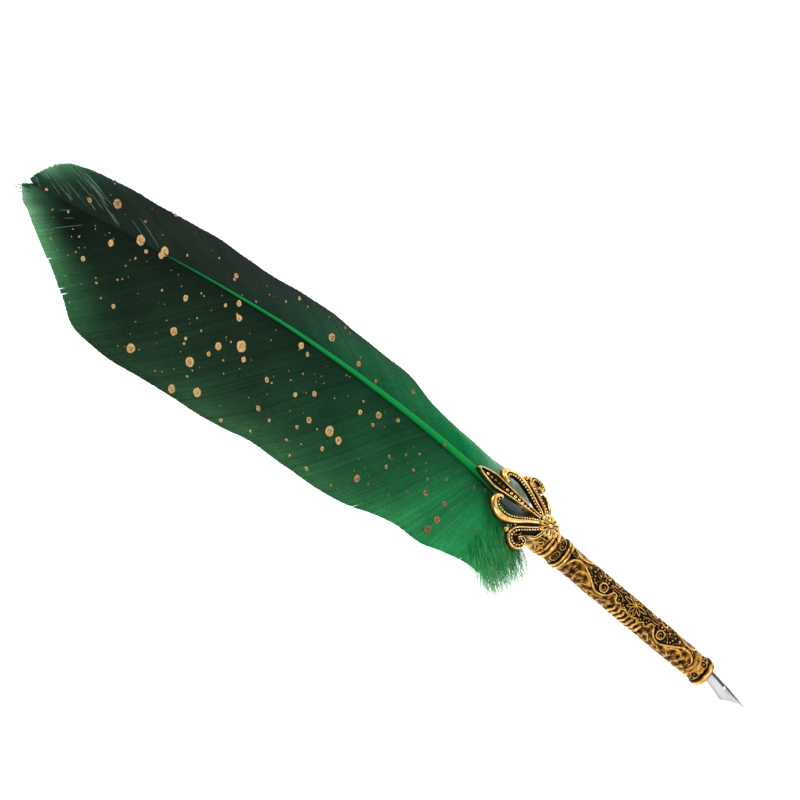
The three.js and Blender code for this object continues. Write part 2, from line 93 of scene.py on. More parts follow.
def node(tree, kind, **settings):
    """A new node. A capital letter marks an input by its label, input_1 is an input by its
    place, and any other setting is a property."""
    made = tree.nodes.new(kind)
    for label, value in settings.items():
        if label[0].isupper():
            made.inputs[label.replace("_", " ")].default_value = value
        elif label.startswith("input_"):
            made.inputs[int(label[-1])].default_value = value
        else:
            setattr(made, label, value)
    return made


def link(tree, first, *steps):
    """Links nodes in a row. Each step is an output, an input of the next node, and that node."""
    for out, into, following in zip(steps[::3], steps[1::3], steps[2::3]):
        tree.links.new(first.outputs[out], following.inputs[into])
        first = following


def new_material(name, **settings):
    """A material with settings on its shader, its node tree, and the shader."""
    material = bpy.data.materials.new(name)
    material.use_nodes = True
    shader = material.node_tree.nodes["Principled BSDF"]
    for label, value in settings.items():
        shader.inputs[label.replace("_", " ")].default_value = value
    return material, material.node_tree, shader


def colour_ramp(tree, stops):
    """A ramp through (position, colour) stops. A single number is a grey."""
    made = node(tree, "ShaderNodeValToRGB")
    elements = made.color_ramp.elements
    for i, (position, colour) in enumerate(stops):
        stop = elements[i] if i < 2 else elements.new(position)
        stop.position = position
        stop.color = (*np.broadcast_to(colour, 3), 1)
    return made


FLOOR_HALF = 12.0
FLOOR_DROP = 0.65                  # metres below the nib, so that the pen casts no mark on it
floor_material, floor_tree, floor_shader = new_material(
    "pale_floor", Base_Color=(0.93, 0.93, 0.93, 1), Roughness=0.55, Metallic=0.75)
link(floor_tree, node(floor_tree, "ShaderNodeTexNoise", Scale=3), "Fac",
     "Height", node(floor_tree, "ShaderNodeBump", Strength=0.02), "Normal", "Normal", floor_shader)
floor_mesh = bpy.data.meshes.new("floor")
floor_mesh.from_pydata(
    [(x * FLOOR_HALF, y * FLOOR_HALF, NIB_POINT - FLOOR_DROP)
     for x, y in ((-1, -1), (1, -1), (1, 1), (-1, 1))], [], [(0, 1, 2, 3)])
floor_mesh.materials.append(floor_material)
put("floor", floor_mesh)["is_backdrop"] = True

# Soft surroundings: bright overhead and on the far side, and dark elsewhere, so that metal has
# light and dark to reflect.
bpy.context.scene.view_settings.view_transform = "Standard"
world = bpy.data.worlds.new("studio")
bpy.context.scene.world = world
world.use_nodes = True
sky = world.node_tree
sky_where = node(sky, "ShaderNodeTexCoord")
sky_sum = node(sky, "ShaderNodeVectorMath")


def sky_glow(place, direction, stops):
    """Light that depends on how far a direction is from the given one, from -1 to 1."""
    facing = node(sky, "ShaderNodeVectorMath", operation="DOT_PRODUCT", input_1=direction.normalized())
    link(sky, sky_where, "Generated", 0, facing, "Value",
         "Value", node(sky, "ShaderNodeMapRange", From_Min=-1), "Result",
         "Fac", colour_ramp(sky, stops), "Color", place, sky_sum)


sky_glow(0, view_up * 0.6 - view_right * 0.8 + back * 0.35,
         ((0.0, 0.04), (0.4, 0.06), (0.68, 0.16), (0.82, 0.75), (1.0, 0.9)))
sky_glow(1, Vector((-back.x, -back.y, 0.3)),
         ((0.0, 0.0), (0.5, 0.02), (0.72, 1.0), (0.86, 1.5), (1.0, 1.6)))
link(sky, sky_sum, "Vector", "Color", sky.nodes["Background"])
sky.nodes["Background"].inputs["Strength"].default_value = 1.0


def softbox(name, direction, distance, size, power):
    """An area light that looks at the pen from direction."""
    lamp = put(name, bpy.data.lights.new(name, "AREA"))
    lamp.data.shape = "DISK"
    lamp.data.size = size
    lamp.data.energy = power
    direction = direction.normalized()
    lamp.location = AIM + direction * distance
    lamp.rotation_euler = direction.to_track_quat("Z", "Y").to_euler()


softbox("key", view_up * 0.9 - view_right * 0.5 + back * 0.8, 1.2, 0.4, 7)
softbox("fill", view_right * 0.2 + back * 1.0 - view_up * 0.5, 1.5, 0.5, 2.2)
softbox("glint", view_right * 1.0 + back * 0.5 + view_up * 0.9, 1.2, 0.16, 1.6)
sun = put("sun", bpy.data.lights.new("sun", "SUN"))
sun.data.energy = 0.5
sun.data.angle = 0.5
sun.rotation_euler = (math.radians(8), math.radians(-10), 0)


# ---------------------------------------------------------------------------
# Nib: one curved sheet of polished spring steel, pierced by a breather hole and
# slit from there to its point. Its butt pushes into the holder's nose.
# ---------------------------------------------------------------------------
def curve_through(knots):
    """A smooth function through [x, value] knots, for arrays or numbers."""
    xs = np.array([k[0] for k in knots], float)
    ys = np.array([k[1:] for k in knots], float)
    if ys.shape[1] == 1:
        ys = ys[:, 0]
    last = len(xs) - 1
    ahead, behind = np.minimum(np.arange(last + 1) + 1, last), np.maximum(np.arange(last + 1) - 1, 0)
    step = (xs[ahead] - xs[behind]).reshape((-1,) + (1,) * (ys.ndim - 1))
    slope = (ys[ahead] - ys[behind]) / step

    def value(x):
        x = np.asarray(x, float)
        i = np.clip(np.searchsorted(xs, x, side="right") - 1, 0, last - 1)
        span = xs[i + 1] - xs[i]
        t = np.clip((x - xs[i]) / span, 0, 1)
        if ys.ndim > 1:
            t, span = t[..., None], span[..., None]
        h = 3 * t * t - 2 * t ** 3
        pull = slope[i] * (t ** 3 - 2 * t * t + t) + slope[i + 1] * (t ** 3 - t * t)
        return ys[i] * (1 - h) + ys[i + 1] * h + span * pull

    return value


def grid_faces(rows, columns, closed_rows=False):
    """Quads over a grid of points, ring by ring, round closed columns."""
    r = np.arange(rows if closed_rows else rows - 1)[:, None]
    c = np.arange(columns)[None, :]
    r2, c2 = (r + 1) % rows, (c + 1) % columns
    corners = np.broadcast_arrays(r * columns + c, r * columns + c2, r2 * columns + c2, r2 * columns + c)
    return np.stack(corners, -1).reshape(-1, 4)


def end_faces(rows, columns):
    """Closes both ends of a grid of rings with strips across each ring."""
    i = np.arange(columns // 2 - 1)
    near = np.stack([i, columns - 1 - i, columns - 2 - i, i + 1], -1)
    far = (rows - 1) * columns + near[:, ::-1]
    return np.concatenate([near, far])


def outward(points, faces):
    """The faces, turned round if they enclose a negative volume."""
    a, b, c, d = (points[faces[:, k]] for k in range(4))
    volume = np.einsum("ij,ij->", a, np.cross(b, c)) + np.einsum("ij,ij->", a, np.cross(c, d))
    return faces[:, ::-1] if volume < 0 else faces


def mesh_piece(name, points, faces, material, slot, replaces, attributes):
    """A smooth mesh from points in millimetres above the nib's point. With a slot it rides on
    the holder."""
    mesh = bpy.data.meshes.new(name)
    mesh.from_pydata((points * MM + np.array([0, 0, NIB_POINT])).tolist(), [], faces.tolist())
    for label, values in attributes.items():
        values = np.asarray(values, np.float32)
        kind, field = ("FLOAT", "value") if values.ndim == 1 else ("FLOAT_COLOR", "color")
        mesh.attributes.new(label, kind, "POINT").data.foreach_set(field, values.ravel())
    mesh.materials.append(material)
    mesh.shade_smooth()
    made = put(name, mesh)
    if slot:
        ride_on(made, "holder", replaces)
    return made


def piece(name, rings, material, slot=None, replaces=(), ends="closed", **attributes):
    """A solid from rings of points. Its two ends are closed with strips, or joined to each
    other, or are poles."""
    rings = np.asarray(rings, float)
    rows, columns = rings.shape[:2]
    points = rings.reshape(-1, 3)
    faces = grid_faces(rows, columns, closed_rows=ends == "joined")
    if ends == "closed":
        faces = np.concatenate([faces, end_faces(rows, columns)])
    return mesh_piece(name, points, outward(points, faces), material, slot, replaces, attributes)


def ride_on(made, body, replaces=()):
    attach(made, body)
    if replaces:
        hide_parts(*replaces)


def node_span(name):
    """A CAD node's foot and top in millimetres above the nib's point, and its radius."""
    low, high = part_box(name)
    return (low.z - NIB_POINT) / MM, (high.z - NIB_POINT) / MM, (high.x - low.x) / 2 / MM


def grain_over(tree, scale, detail=2.0, stretch=None):
    """Noise over the piece's own coordinates, drawn out along it where stretch is given."""
    noise = node(tree, "ShaderNodeTexNoise", Scale=scale, Detail=detail)
    where = node(tree, "ShaderNodeTexCoord")
    if stretch:
        link(tree, where, "Object", "Vector", node(tree, "ShaderNodeMapping", Scale=stretch),
             "Vector", "Vector", noise)
    else:
        link(tree, where, "Object", "Vector", noise)
    return noise


def roughen(tree, shader, noise, **settings):
    """Small bumps on the surface, as high as the noise."""
    link(tree, noise, "Fac", "Height", node(tree, "ShaderNodeBump", **settings), "Normal", "Normal", shader)


def attribute(tree, name):
    return node(tree, "ShaderNodeAttribute", attribute_name=name)


def polished_steel():
    """Drawn out grain along the nib, and a painted reflection: a dark streak beside the crest."""
    material, tree, shader = new_material("polished_steel", Metallic=1)
    # Painted reflection: the base colour follows across, near black in a streak beside the crest and lighter
    # on the flanks.
    streak = colour_ramp(tree, [(position, (level, level, level * 1.02)) for position, level in (
        (0.0, 0.5), (0.3, 0.62), (0.44, 0.5), (0.47, 0.05), (0.64, 0.04), (0.7, 0.62), (1.0, 0.68))])
    link(tree, attribute(tree, "across"), "Fac", "Fac", streak, "Color", "Base Color", shader)
    grain = grain_over(tree, 1, 3, (9000, 9000, 500))
    link(tree, grain, "Fac", "Value", node(tree, "ShaderNodeMapRange", To_Min=0.14, To_Max=0.34),
         "Result", "Roughness", shader)
    roughen(tree, shader, grain, Strength=0.05, Distance=0.0001)
    return material


def cut_with(target, *cutters):
    """Cuts closed meshes out of target for good."""
    for cutter in cutters:
        modifier = target.modifiers.new("cut", "BOOLEAN")
        modifier.operation = "DIFFERENCE"
        modifier.solver = "EXACT"
        modifier.object = cutter
    graph = bpy.context.evaluated_depsgraph_get()
    cut = bpy.data.meshes.new_from_object(target.evaluated_get(graph))
    target.modifiers.clear()
    target.data = cut
    for cutter in cutters:
        bpy.data.objects.remove(cutter)


NIB_TOP = node_span("nib")[1]
NIB_WALL = 0.3
SHOULDER = 9.8                     # where the nib is widest
SHOULDER_HALF = 3.1
BUTT_FOOT = 18.4                   # where the nib becomes a half tube
BUTT_RADIUS = 2.6
BREATHER_HEIGHT = 10.6
BREATHER_RADIUS = 0.5
SLIT_HALF = 0.05
CUT_REACH = 5                      # the cutters run this far either side of the axis
nib_half = curve_through([
    (0, 0.14), (2.9, 0.85), (6.1, 1.95), (8.6, 2.97), (SHOULDER, SHOULDER_HALF), (12.7, 2.85),
    (BUTT_FOOT, 2.43), (NIB_TOP, 2.43)])
nib_radius = curve_through([(0, 3.3), (SHOULDER, 3.3), (BUTT_FOOT, BUTT_RADIUS), (NIB_TOP, BUTT_RADIUS)])
nib_crest = curve_through([(0, 0), (SHOULDER, -1.09), (BUTT_FOOT, -BUTT_RADIUS), (NIB_TOP, -BUTT_RADIUS)])
nib_heights = np.concatenate([np.linspace(0, 19, 96), np.linspace(19.5, NIB_TOP, 12)])
across = np.linspace(-1, 1, 41)
outer = nib_radius(nib_heights)[:, None]
reach = np.arcsin(np.minimum(nib_half(nib_heights)[:, None] / outer, 1)) * across
nib_rings = np.concatenate([np.stack([
    sheet_radius * np.sin(angles),
    nib_crest(nib_heights)[:, None] + outer - sheet_radius * np.cos(angles),
    np.broadcast_to(nib_heights[:, None], angles.shape)], -1)
    for sheet_radius, angles in ((outer, reach), (outer - NIB_WALL, -reach))], axis=1)
steel = polished_steel()
nib = piece("nib_sheet", nib_rings, steel,
            across=np.tile(np.concatenate([(across + 1) / 2, (1 - across) / 2]), nib_heights.size))
breather = piece("breather", [
    [(BREATHER_RADIUS * math.cos(a), y, BREATHER_HEIGHT + BREATHER_RADIUS * math.sin(a))
     for a in np.linspace(0, 2 * math.pi, 32, endpoint=False)] for y in (-CUT_REACH, CUT_REACH)], steel)
slit = piece("slit", [
    [(SLIT_HALF * x, CUT_REACH * y, z) for x, y in ((-1, -1), (1, -1), (1, 1), (-1, 1))]
    for z in (-1, BREATHER_HEIGHT)], steel)
cut_with(nib, breather, slit)
nib.data.set_sharp_from_angle(angle=math.radians(35))
ride_on(nib, "nib", ["nib"])


# ---------------------------------------------------------------------------
# Nib plug and neck tube: the black plug that the nib's butt grips, and the drawn tube
# that holds barrel, rings and crown together. Both keep their CAD shapes.
# ---------------------------------------------------------------------------
def moulded_black():
    material, tree, shader = new_material("moulded_black", Roughness=0.5)
    speckle = grain_over(tree, 2500)
    blacks = colour_ramp(tree, ((0, (0.012, 0.012, 0.012)), (1, (0.035, 0.033, 0.03))))
    link(tree, speckle, "Fac", "Fac", blacks, "Color", "Base Color", shader)
    roughen(tree, shader, speckle, Strength=0.1)
    return material


def drawn_brass():
    material, tree, shader = new_material("drawn_brass", Metallic=1, Roughness=0.38)
    link(tree, grain_over(tree, 1, stretch=(6000, 6000, 200)), "Fac",
         "Fac", colour_ramp(tree, ((0, (0.35, 0.22, 0.07)), (1, (0.62, 0.42, 0.16)))),
         "Color", "Base Color", shader)
    return material


for cad_node, finish in (("nib_plug", moulded_black()), ("neck_tube", drawn_brass())):
    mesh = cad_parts[cad_node].data
    mesh.materials.clear()
    mesh.materials.append(finish)


# ---------------------------------------------------------------------------
# Nose: the half-round ring at the holder's mouth, and the collar above it with paired round
# recesses that each hold a bead. Both are cast and plated, then blackened and rubbed back, so
# the recesses stay near black and the high spots shine.
# ---------------------------------------------------------------------------
RELIEF_DEPTH = 0.45                # deepest recess below a turned piece's outside
NOSE_BORE = 2.9


def antique_gold():
    """"relief" runs from 0 in a recess to 1 on a crest, and a fine mottle breaks it up."""
    material, tree, shader = new_material("antique_gold", Specular_IOR_Level=0.2)
    mottle = grain_over(tree, 700, 4)
    total = node(tree, "ShaderNodeMath")
    colours = colour_ramp(tree, (
        (0.0, (0.004, 0.003, 0.002)), (0.24, (0.010, 0.006, 0.003)), (0.4, (0.085, 0.036, 0.008)),
        (0.58, (0.34, 0.145, 0.022)), (0.8, (0.74, 0.40, 0.075)), (1.0, (1.0, 0.74, 0.30))))
    link(tree, attribute(tree, "relief"), "Fac", 0, total, "Value",
         "Fac", colours, "Color", "Base Color", shader)
    link(tree, mottle, "Fac",
         "Value", node(tree, "ShaderNodeMapRange", From_Min=0.25, From_Max=0.75, To_Min=-0.22, To_Max=0.16),
         "Result", 1, total)
    for into, settings in (("Roughness", {"To_Min": 0.5, "To_Max": 0.2}),
                           ("Metallic", {"From_Max": 0.35, "To_Min": 0.4})):
        link(tree, total, "Value", "Value", node(tree, "ShaderNodeMapRange", **settings),
             "Result", into, shader)
    roughen(tree, shader, mottle, Strength=0.12, Distance=0.0002)
    return material


gold = antique_gold()


class Relief:
    """A height field in millimetres over across (round the piece) and up (along it)."""

    def __init__(self, across, up, ground=0.0):
        self.across, self.up = across, up
        self.height = np.full(across.shape, float(ground))

    def raise_to(self, height, where=None):
        if where is None:
            self.height = np.maximum(self.height, height)
        else:
            self.height = np.where(where, np.maximum(self.height, height), self.height)

    def distance(self, route):
        """Distance from every point to a smooth line through route."""
        knots = [(i, *point) for i, point in enumerate(route)]
        fine = curve_through(knots)(np.linspace(0, len(route) - 1, 8 * (len(route) - 1) + 1))
        best = np.full(self.across.shape, 1e9)
        for (ax, ay), (bx, by) in zip(fine[:-1], fine[1:]):
            dx, dy = bx - ax, by - ay
            share = ((self.across - ax) * dx + (self.up - ay) * dy) / max(dx * dx + dy * dy, 1e-12)
            share = np.clip(share, 0, 1)
            best = np.minimum(best, np.hypot(self.across - ax - share * dx, self.up - ay - share * dy))
        return best

    def vine(self, route, width, height):
        """A half-round ridge along a line."""
        near = np.clip(1 - (self.distance(route) / (width / 2)) ** 2, 0, None)
        self.raise_to(height * near ** 0.45, near > 0)

    def groove(self, route, width, depth):
        """A cut along a line, fading at its ends."""
        near = np.clip(1 - (self.distance(route) / (width / 2)) ** 2, 0, None)
        self.height = self.height - depth * near

    def bead(self, x, y, radius, height):
        near = np.clip(1 - ((self.across - x) ** 2 + (self.up - y) ** 2) / radius ** 2, 0, None)
        self.raise_to(height * np.sqrt(near), near > 0)

    def sink(self, x, y, rx, ry, floor):
        """An oval recess with a soft edge."""
        far = np.hypot((self.across - x) / rx, (self.up - y) / ry)
        hole = np.clip((far - 0.82) / 0.18, 0, 1)
        self.height = np.where(far < 1, floor + (self.height - floor) * hole, self.height)

    def petal(self, x, y, turn, length, width, height):
        """A pointed petal from (x, y), with a raised rim and a dark crease."""
        along = (self.across - x) * math.cos(turn) + (self.up - y) * math.sin(turn)
        beside = -(self.across - x) * math.sin(turn) + (self.up - y) * math.cos(turn)
        share = along / length
        half = width / 2 * np.sqrt(np.clip(np.sin(np.pi * np.clip(share, 0, 1) ** 0.8), 0, 1))
        inside = (share > 0) & (share < 1) & (np.abs(beside) < half)
        rim = np.clip(1 - ((half - np.abs(beside)) / 0.2 - 0.9) ** 2, 0, 1) ** 0.5
        self.height = np.where(inside, height * np.maximum(rim, 0.05), self.height)

    def spiral(self, x, y, start, end, turns, width, height, lean=0.0):
        """A curl that tightens from radius start to radius end."""
        count = int(10 * abs(turns)) + 6
        angles = lean + np.linspace(0, 2 * math.pi * turns, count)
        radii = np.linspace(start, end, count)
        self.vine([(x + r * math.cos(a), y + r * math.sin(a)) for r, a in zip(radii, angles)], width, height)


def carved(foot, top, radius, draw, rows, columns):
    """The angles and heights of a turned piece's outside, and the relief that draw makes on it."""
    angle = np.linspace(-math.pi, math.pi, columns, endpoint=False)[None, :]
    up = np.linspace(foot, top, rows)[:, None]
    relief = Relief(np.broadcast_to(angle * radius, (rows, columns)), np.broadcast_to(up, (rows, columns)))
    draw(relief)
    return angle, up, np.clip(relief.height, 0, RELIEF_DEPTH)


def turned(angle, radius, up):
    """Rings of points round the axis."""
    x, y = radius * np.sin(angle), -radius * np.cos(angle)
    return np.stack([x, y, np.broadcast_to(up, x.shape)], -1)


def turned_relief(cad_node, draw, rows, columns, bore, ends=0.35):
    """A hollow turned piece in a CAD node's place, with relief outside and chamfered ends."""
    foot, top, radius = node_span(cad_node)
    angle, up, height = carved(foot, top, radius, draw, rows, columns)
    chamfer = np.clip(np.minimum(up - foot, top - up) / ends, 0, 1) if ends else 1
    outside = radius - RELIEF_DEPTH + height - 0.25 * (1 - chamfer)
    rings = np.concatenate([turned(angle, outside, up), turned(angle, bore, top), turned(angle, bore, foot)])
    shine = np.concatenate([0.92 * (height / RELIEF_DEPTH).ravel() ** 1.4, np.full(2 * columns, 0.35)])
    piece(cad_node + "_cast", rings, gold, "antique_gold", [cad_node], "joined", relief=shine)


def ring_relief(beads, seam):
    """Half-round beads round a ring, which cross over at a seam like wound wire."""
    def draw(relief):
        foot, top = relief.up.min(), relief.up.max()
        share = (relief.up - foot) / (top - foot) * beads
        slant = 0.16 * np.tanh((relief.across - seam) * 1.6) * np.exp(-np.abs(relief.across - seam) / 3.0)
        wave = np.abs(np.sin(np.pi * np.clip(share + slant * beads * 0.5, 0, beads)))
        relief.height = RELIEF_DEPTH * (0.15 + 0.85 * wave ** 0.6)
        cut = np.exp(-((relief.across - seam - (relief.up - foot) * 1.2 + 1.2) / 0.22) ** 2)
        relief.height -= 0.3 * cut
    return draw


COLLAR_REPEAT = 2 * math.pi * 4.4 / 4         # four pairs of recesses round the collar


def collar_relief(relief):
    period = COLLAR_REPEAT
    x = (relief.across + period * 0.42) % period - period / 2
    relief.across = x
    foot = relief.up.min()
    relief.height[:] = 0.34
    relief.height += 0.05 * np.sin(2 * np.pi * (relief.up - foot + 0.4 * np.abs(x)) / 1.7)
    for side, high in ((-1, 1.5), (1, 1.8)):
        relief.sink(1.1 * side, foot + high, 1.15, 1.25, 0.0)
        ring = [(1.1 * side + 1.15 * math.cos(a), foot + high + 1.25 * math.sin(a))
                for a in np.linspace(0, 2 * math.pi, 13)]
        relief.vine(ring, 0.36, 0.44)
        relief.bead(1.1 * side, foot + high + 0.1, 0.5, 0.43)
    relief.vine([(-2.9, foot + 0.6), (-2.2, foot + 1.3), (-2.5, foot + 2.2), (-3.3, foot + 2.6)], 0.4, 0.43)
    relief.vine([(2.2, foot + 0.5), (2.5, foot + 1.6), (3.2, foot + 2.4)], 0.4, 0.43)
    relief.vine([(-3.4, foot + 3.4), (-1.2, foot + 3.1), (1.2, foot + 3.5), (3.4, foot + 3.3)], 0.45, 0.45)
    relief.vine([(-3.4, foot + 4.6), (-1.2, foot + 4.9), (1.2, foot + 4.5), (3.4, foot + 4.6)], 0.35, 0.4)


turned_relief("nose_ring", ring_relief(1, 0.8), 24, 160, NOSE_BORE, 0)
turned_relief("nose_collar", collar_relief, 60, 220, NOSE_BORE)


# ---------------------------------------------------------------------------
# Barrel: one cast tube, plated and rubbed back. Vines frame a dark field of beads and curls
# down the front and the back, a long-petalled flower sits at mid height, and folded leaves
# fill the sides.
# ---------------------------------------------------------------------------
BARREL_BORE = 3.0
FLOWER_HEIGHT = 55.4               # middle of the flower, and of the whole pattern
FLOWER_PETALS = 10
BARREL_REPEAT = math.pi * 4.6      # the pattern shows twice round the barrel
field_edge = curve_through([
    (55, 2.9), (57, 3.4), (58.4, 2.3), (59.6, 3.2), (61, 2.2), (62.4, 2.9), (63.4, 1.6), (65.1, 2.3),
    (66.6, 3.9), (68.6, 4.9), (70.4, 4.8), (73.3, 3.3), (76, 1.7), (78.6, 0.8), (81.4, 0.9), (84, 2.6)])


def barrel_relief(relief):
    # The pattern is mirrored about its own middle, and up and down about the flower.
    half = BARREL_REPEAT / 2
    relief.across = np.abs((relief.across + half) % BARREL_REPEAT - half)
    relief.up = FLOWER_HEIGHT + np.abs(relief.up - FLOWER_HEIGHT)
    x, y = relief.across, relief.up
    beyond = np.clip((x - field_edge(y)) / 0.25, 0, 1)
    swell = 0.08 * np.sin(1.9 * x + 0.8 * y) * np.sin(1.3 * y - 0.6 * x)
    relief.height = beyond * (0.3 + swell)
    for route, width, depth in (
            (((7.3, 82.6), (5.8, 83), (4.3, 82.5), (3, 82.8)), 0.4, 0.2),
            (((7.3, 80), (6.2, 80.5), (5, 79.9), (3.9, 80.4), (2.5, 80.1)), 0.42, 0.24),
            (((5.4, 81.8), (4.9, 80.6), (5.3, 79.2)), 0.34, 0.2),
            (((7.3, 77.2), (6.7, 76.4), (5.5, 76.2), (4.6, 75.2)), 0.4, 0.24),
            (((7.3, 73.6), (6.6, 73), (6.1, 71.6)), 0.36, 0.22),
            (((6.3, 72.4), (6, 70), (6.2, 67.4), (5.6, 65.4)), 0.3, 0.16),
            (((6.9, 71), (6.7, 68.6), (6.9, 65.6)), 0.26, 0.16),
            (((5.0, 65.6), (4.2, 64.2), (3, 63.9)), 0.34, 0.2),
            (((7.3, 62.3), (6.2, 62.5), (5, 61.7), (4.4, 61.8)), 0.5, 0.24),
            (((6.6, 58.4), (5.6, 58.9), (4.6, 58.7), (4.1, 58.2)), 0.85, 0.4),
            (((7.3, 56.8), (6.5, 57.2), (5.9, 56.9)), 0.4, 0.22)):
        relief.groove(route, width, depth)
    relief.vine([(7.3, 84), (5.2, 83.9), (3.4, 83.4), (2, 82.6), (1.0, 81.2), (0.75, 78.6), (1.8, 76),
                 (3.3, 73.3), (4.8, 70.6), (4.95, 68.4), (3.9, 66.2), (2.2, 65)], 0.85, 0.45)
    relief.vine([(7.2, 78), (5.6, 78.9), (4, 78.9), (2.9, 78), (2.5, 76.6), (3.5, 74.4), (4.9, 72.2)],
                0.72, 0.42)
    relief.vine([(4.6, 76.8), (5.4, 77.4), (6.4, 77)], 0.4, 0.4)
    relief.vine([(2.9, 80.8), (4, 81.9), (5.2, 81.4)], 0.4, 0.4)
    for first, middle, last in (((7.2, 75.4), (6.3, 75.1), (5.6, 73.8)),
                                ((7.2, 69.6), (6.5, 69), (5.8, 67.6)),
                                ((7.2, 67), (6.5, 66.3), (5.3, 65)),
                                ((7.2, 64.3), (6.2, 63.7), (5.0, 63.3)),
                                ((7.2, 71.8), (6.7, 71.3), (6.2, 70.2)),
                                ((7.2, 81.3), (6.4, 81.6), (5.7, 81.1))):
        relief.vine([first, middle, last], 0.6, 0.43)
    for lobe in (55.4, 57.3, 59.2, 61.1):
        relief.groove([(4.6, lobe + 0.9), (5.6, lobe + 0.7), (7, lobe + 1.1)], 0.5, 0.4)
        relief.vine([(4.8, lobe), (5.7, lobe - 0.25), (7, lobe + 0.15)], 1.35, 0.44)
    relief.spiral(2.4, 68.4, 1.45, 1.45, 1.0, 0.62, 0.45)
    relief.spiral(2.4, 68.4, 1.0, 0.3, -0.8, 0.5, 0.4, lean=1.2)
    relief.vine([(0.7, 65.9), (1.3, 67), (1, 68.4), (1.4, 70.4), (2.6, 71.6), (3.2, 70.7)], 0.4, 0.38)
    relief.vine([(2.2, 65), (1.4, 64.2), (1.8, 63), (3, 62.6), (3.6, 61.6), (2.9, 60.6), (3.6, 59.8),
                 (4.2, 58.8), (3.4, 57.9), (3.9, 56.6), (4.1, 55.2)], 0.6, 0.44)
    relief.vine([(0, 84.2), (0.5, 82.6), (0.35, 80.6), (0, 79.4)], 0.4, 0.36)
    relief.vine([(0.3, 78.4), (0.2, 76.9), (0.9, 75.4), (1.7, 74.2)], 0.36, 0.36)
    relief.vine([(0.25, 72.7), (0.9, 71.3), (0.6, 69.8)], 0.36, 0.36)
    relief.vine([(0, 66.4), (0.55, 64.6), (0.5, 62.4), (1.1, 60.8), (2.1, 60.2)], 0.42, 0.4)
    for x0, y0, size in ((0, 75.7, 0.62), (0.85, 77.3, 0.36), (0, 73.7, 0.4), (0, 71.2, 0.58),
                         (2.9, 71.9, 0.42), (1.3, 73.1, 0.44), (2.2, 74.0, 0.34), (2.3, 72.7, 0.38),
                         (0, 68.9, 0.46), (0.9, 67.8, 0.32), (0, 67.6, 0.5), (3.6, 67.2, 0.34),
                         (2.2, 61.7, 0.36), (1.3, 62.2, 0.34), (0.2, 81.6, 0.3), (2.7, 59.4, 0.36),
                         (3.1, 58.6, 0.3), (1.2, 64.9, 0.32), (1.3, 60, 0.3)):
        relief.bead(x0, y0, size, 0.45)
    for k in range(FLOWER_PETALS):
        turn = 2 * math.pi * k / FLOWER_PETALS + math.pi / 2
        upright = abs(math.sin(turn)) > 0.9
        relief.petal(0.5 * math.cos(turn), FLOWER_HEIGHT + 0.5 * math.sin(turn), turn,
                     3.2 + 1.3 * upright, 1.35 + 0.3 * upright, 0.45)
    relief.bead(0, FLOWER_HEIGHT, 0.95, 0.45)


turned_relief("barrel", barrel_relief, 400, 240, BARREL_BORE)


# ---------------------------------------------------------------------------
# Bands above the barrel: a double ring, a band of oval scroll frames, and a single ring. All
# three are cast in the same gold and slide over the neck tube.
# ---------------------------------------------------------------------------
RING_BORE = 2.95
BAND_REPEAT = 2 * math.pi * 4.65 / 6          # six frames round the band


def scroll_band_relief(relief):
    foot = relief.up.min()
    middle = (foot + relief.up.max()) / 2
    count = np.round(relief.across / BAND_REPEAT)
    relief.across = relief.across - count * BAND_REPEAT
    even = (count % 2 == 0)
    relief.height[:] = 0.25
    frame_line = [(1.92 * math.cos(a), middle + 1.2 * math.sin(a)) for a in np.linspace(0, 2 * math.pi, 17)]
    relief.sink(0, middle, 1.85, 1.14, 0.0)
    relief.vine(frame_line, 0.45, 0.44)
    plain = relief.height.copy()
    relief.bead(-0.72, middle - 0.1, 0.42, 0.42)
    relief.bead(0.62, middle + 0.12, 0.4, 0.42)
    relief.vine([(-1.3, middle + 0.2), (-0.6, middle + 0.65), (0, middle - 0.2), (0.5, middle + 0.7),
                 (1.2, middle + 0.3)], 0.26, 0.36)
    beaded = relief.height.copy()
    relief.height = plain
    relief.vine([(-1.2, middle + 0.55), (0.5, middle + 0.6), (0.9, middle), (0.5, middle - 0.55),
                 (-1.2, middle - 0.5)], 0.3, 0.4)
    relief.vine([(-1.2, middle), (0.3, middle + 0.05)], 0.28, 0.38)
    relief.height = np.where(even, beaded, relief.height)
    edge = np.minimum(relief.up - foot, relief.up.max() - relief.up)
    relief.raise_to(0.34 * np.clip(1 - edge / 0.22, 0, 1))


turned_relief("lower_ring", ring_relief(2, -0.6), 34, 160, RING_BORE, 0)
turned_relief("scroll_band", scroll_band_relief, 44, 300, RING_BORE)
turned_relief("upper_ring", ring_relief(1, -1.2), 26, 160, RING_BORE, 0)


# ---------------------------------------------------------------------------
# Crown socket: the sleeve under the crown, cast in one with it, with an S scroll and leaf
# tips on its sides. It is open at the top as a cup round the bare quill.
# ---------------------------------------------------------------------------
SOCKET_WALL = 0.9
SOCKET_CUP = 5.0                   # depth of the cup
SOCKET_REPEAT = 12.0


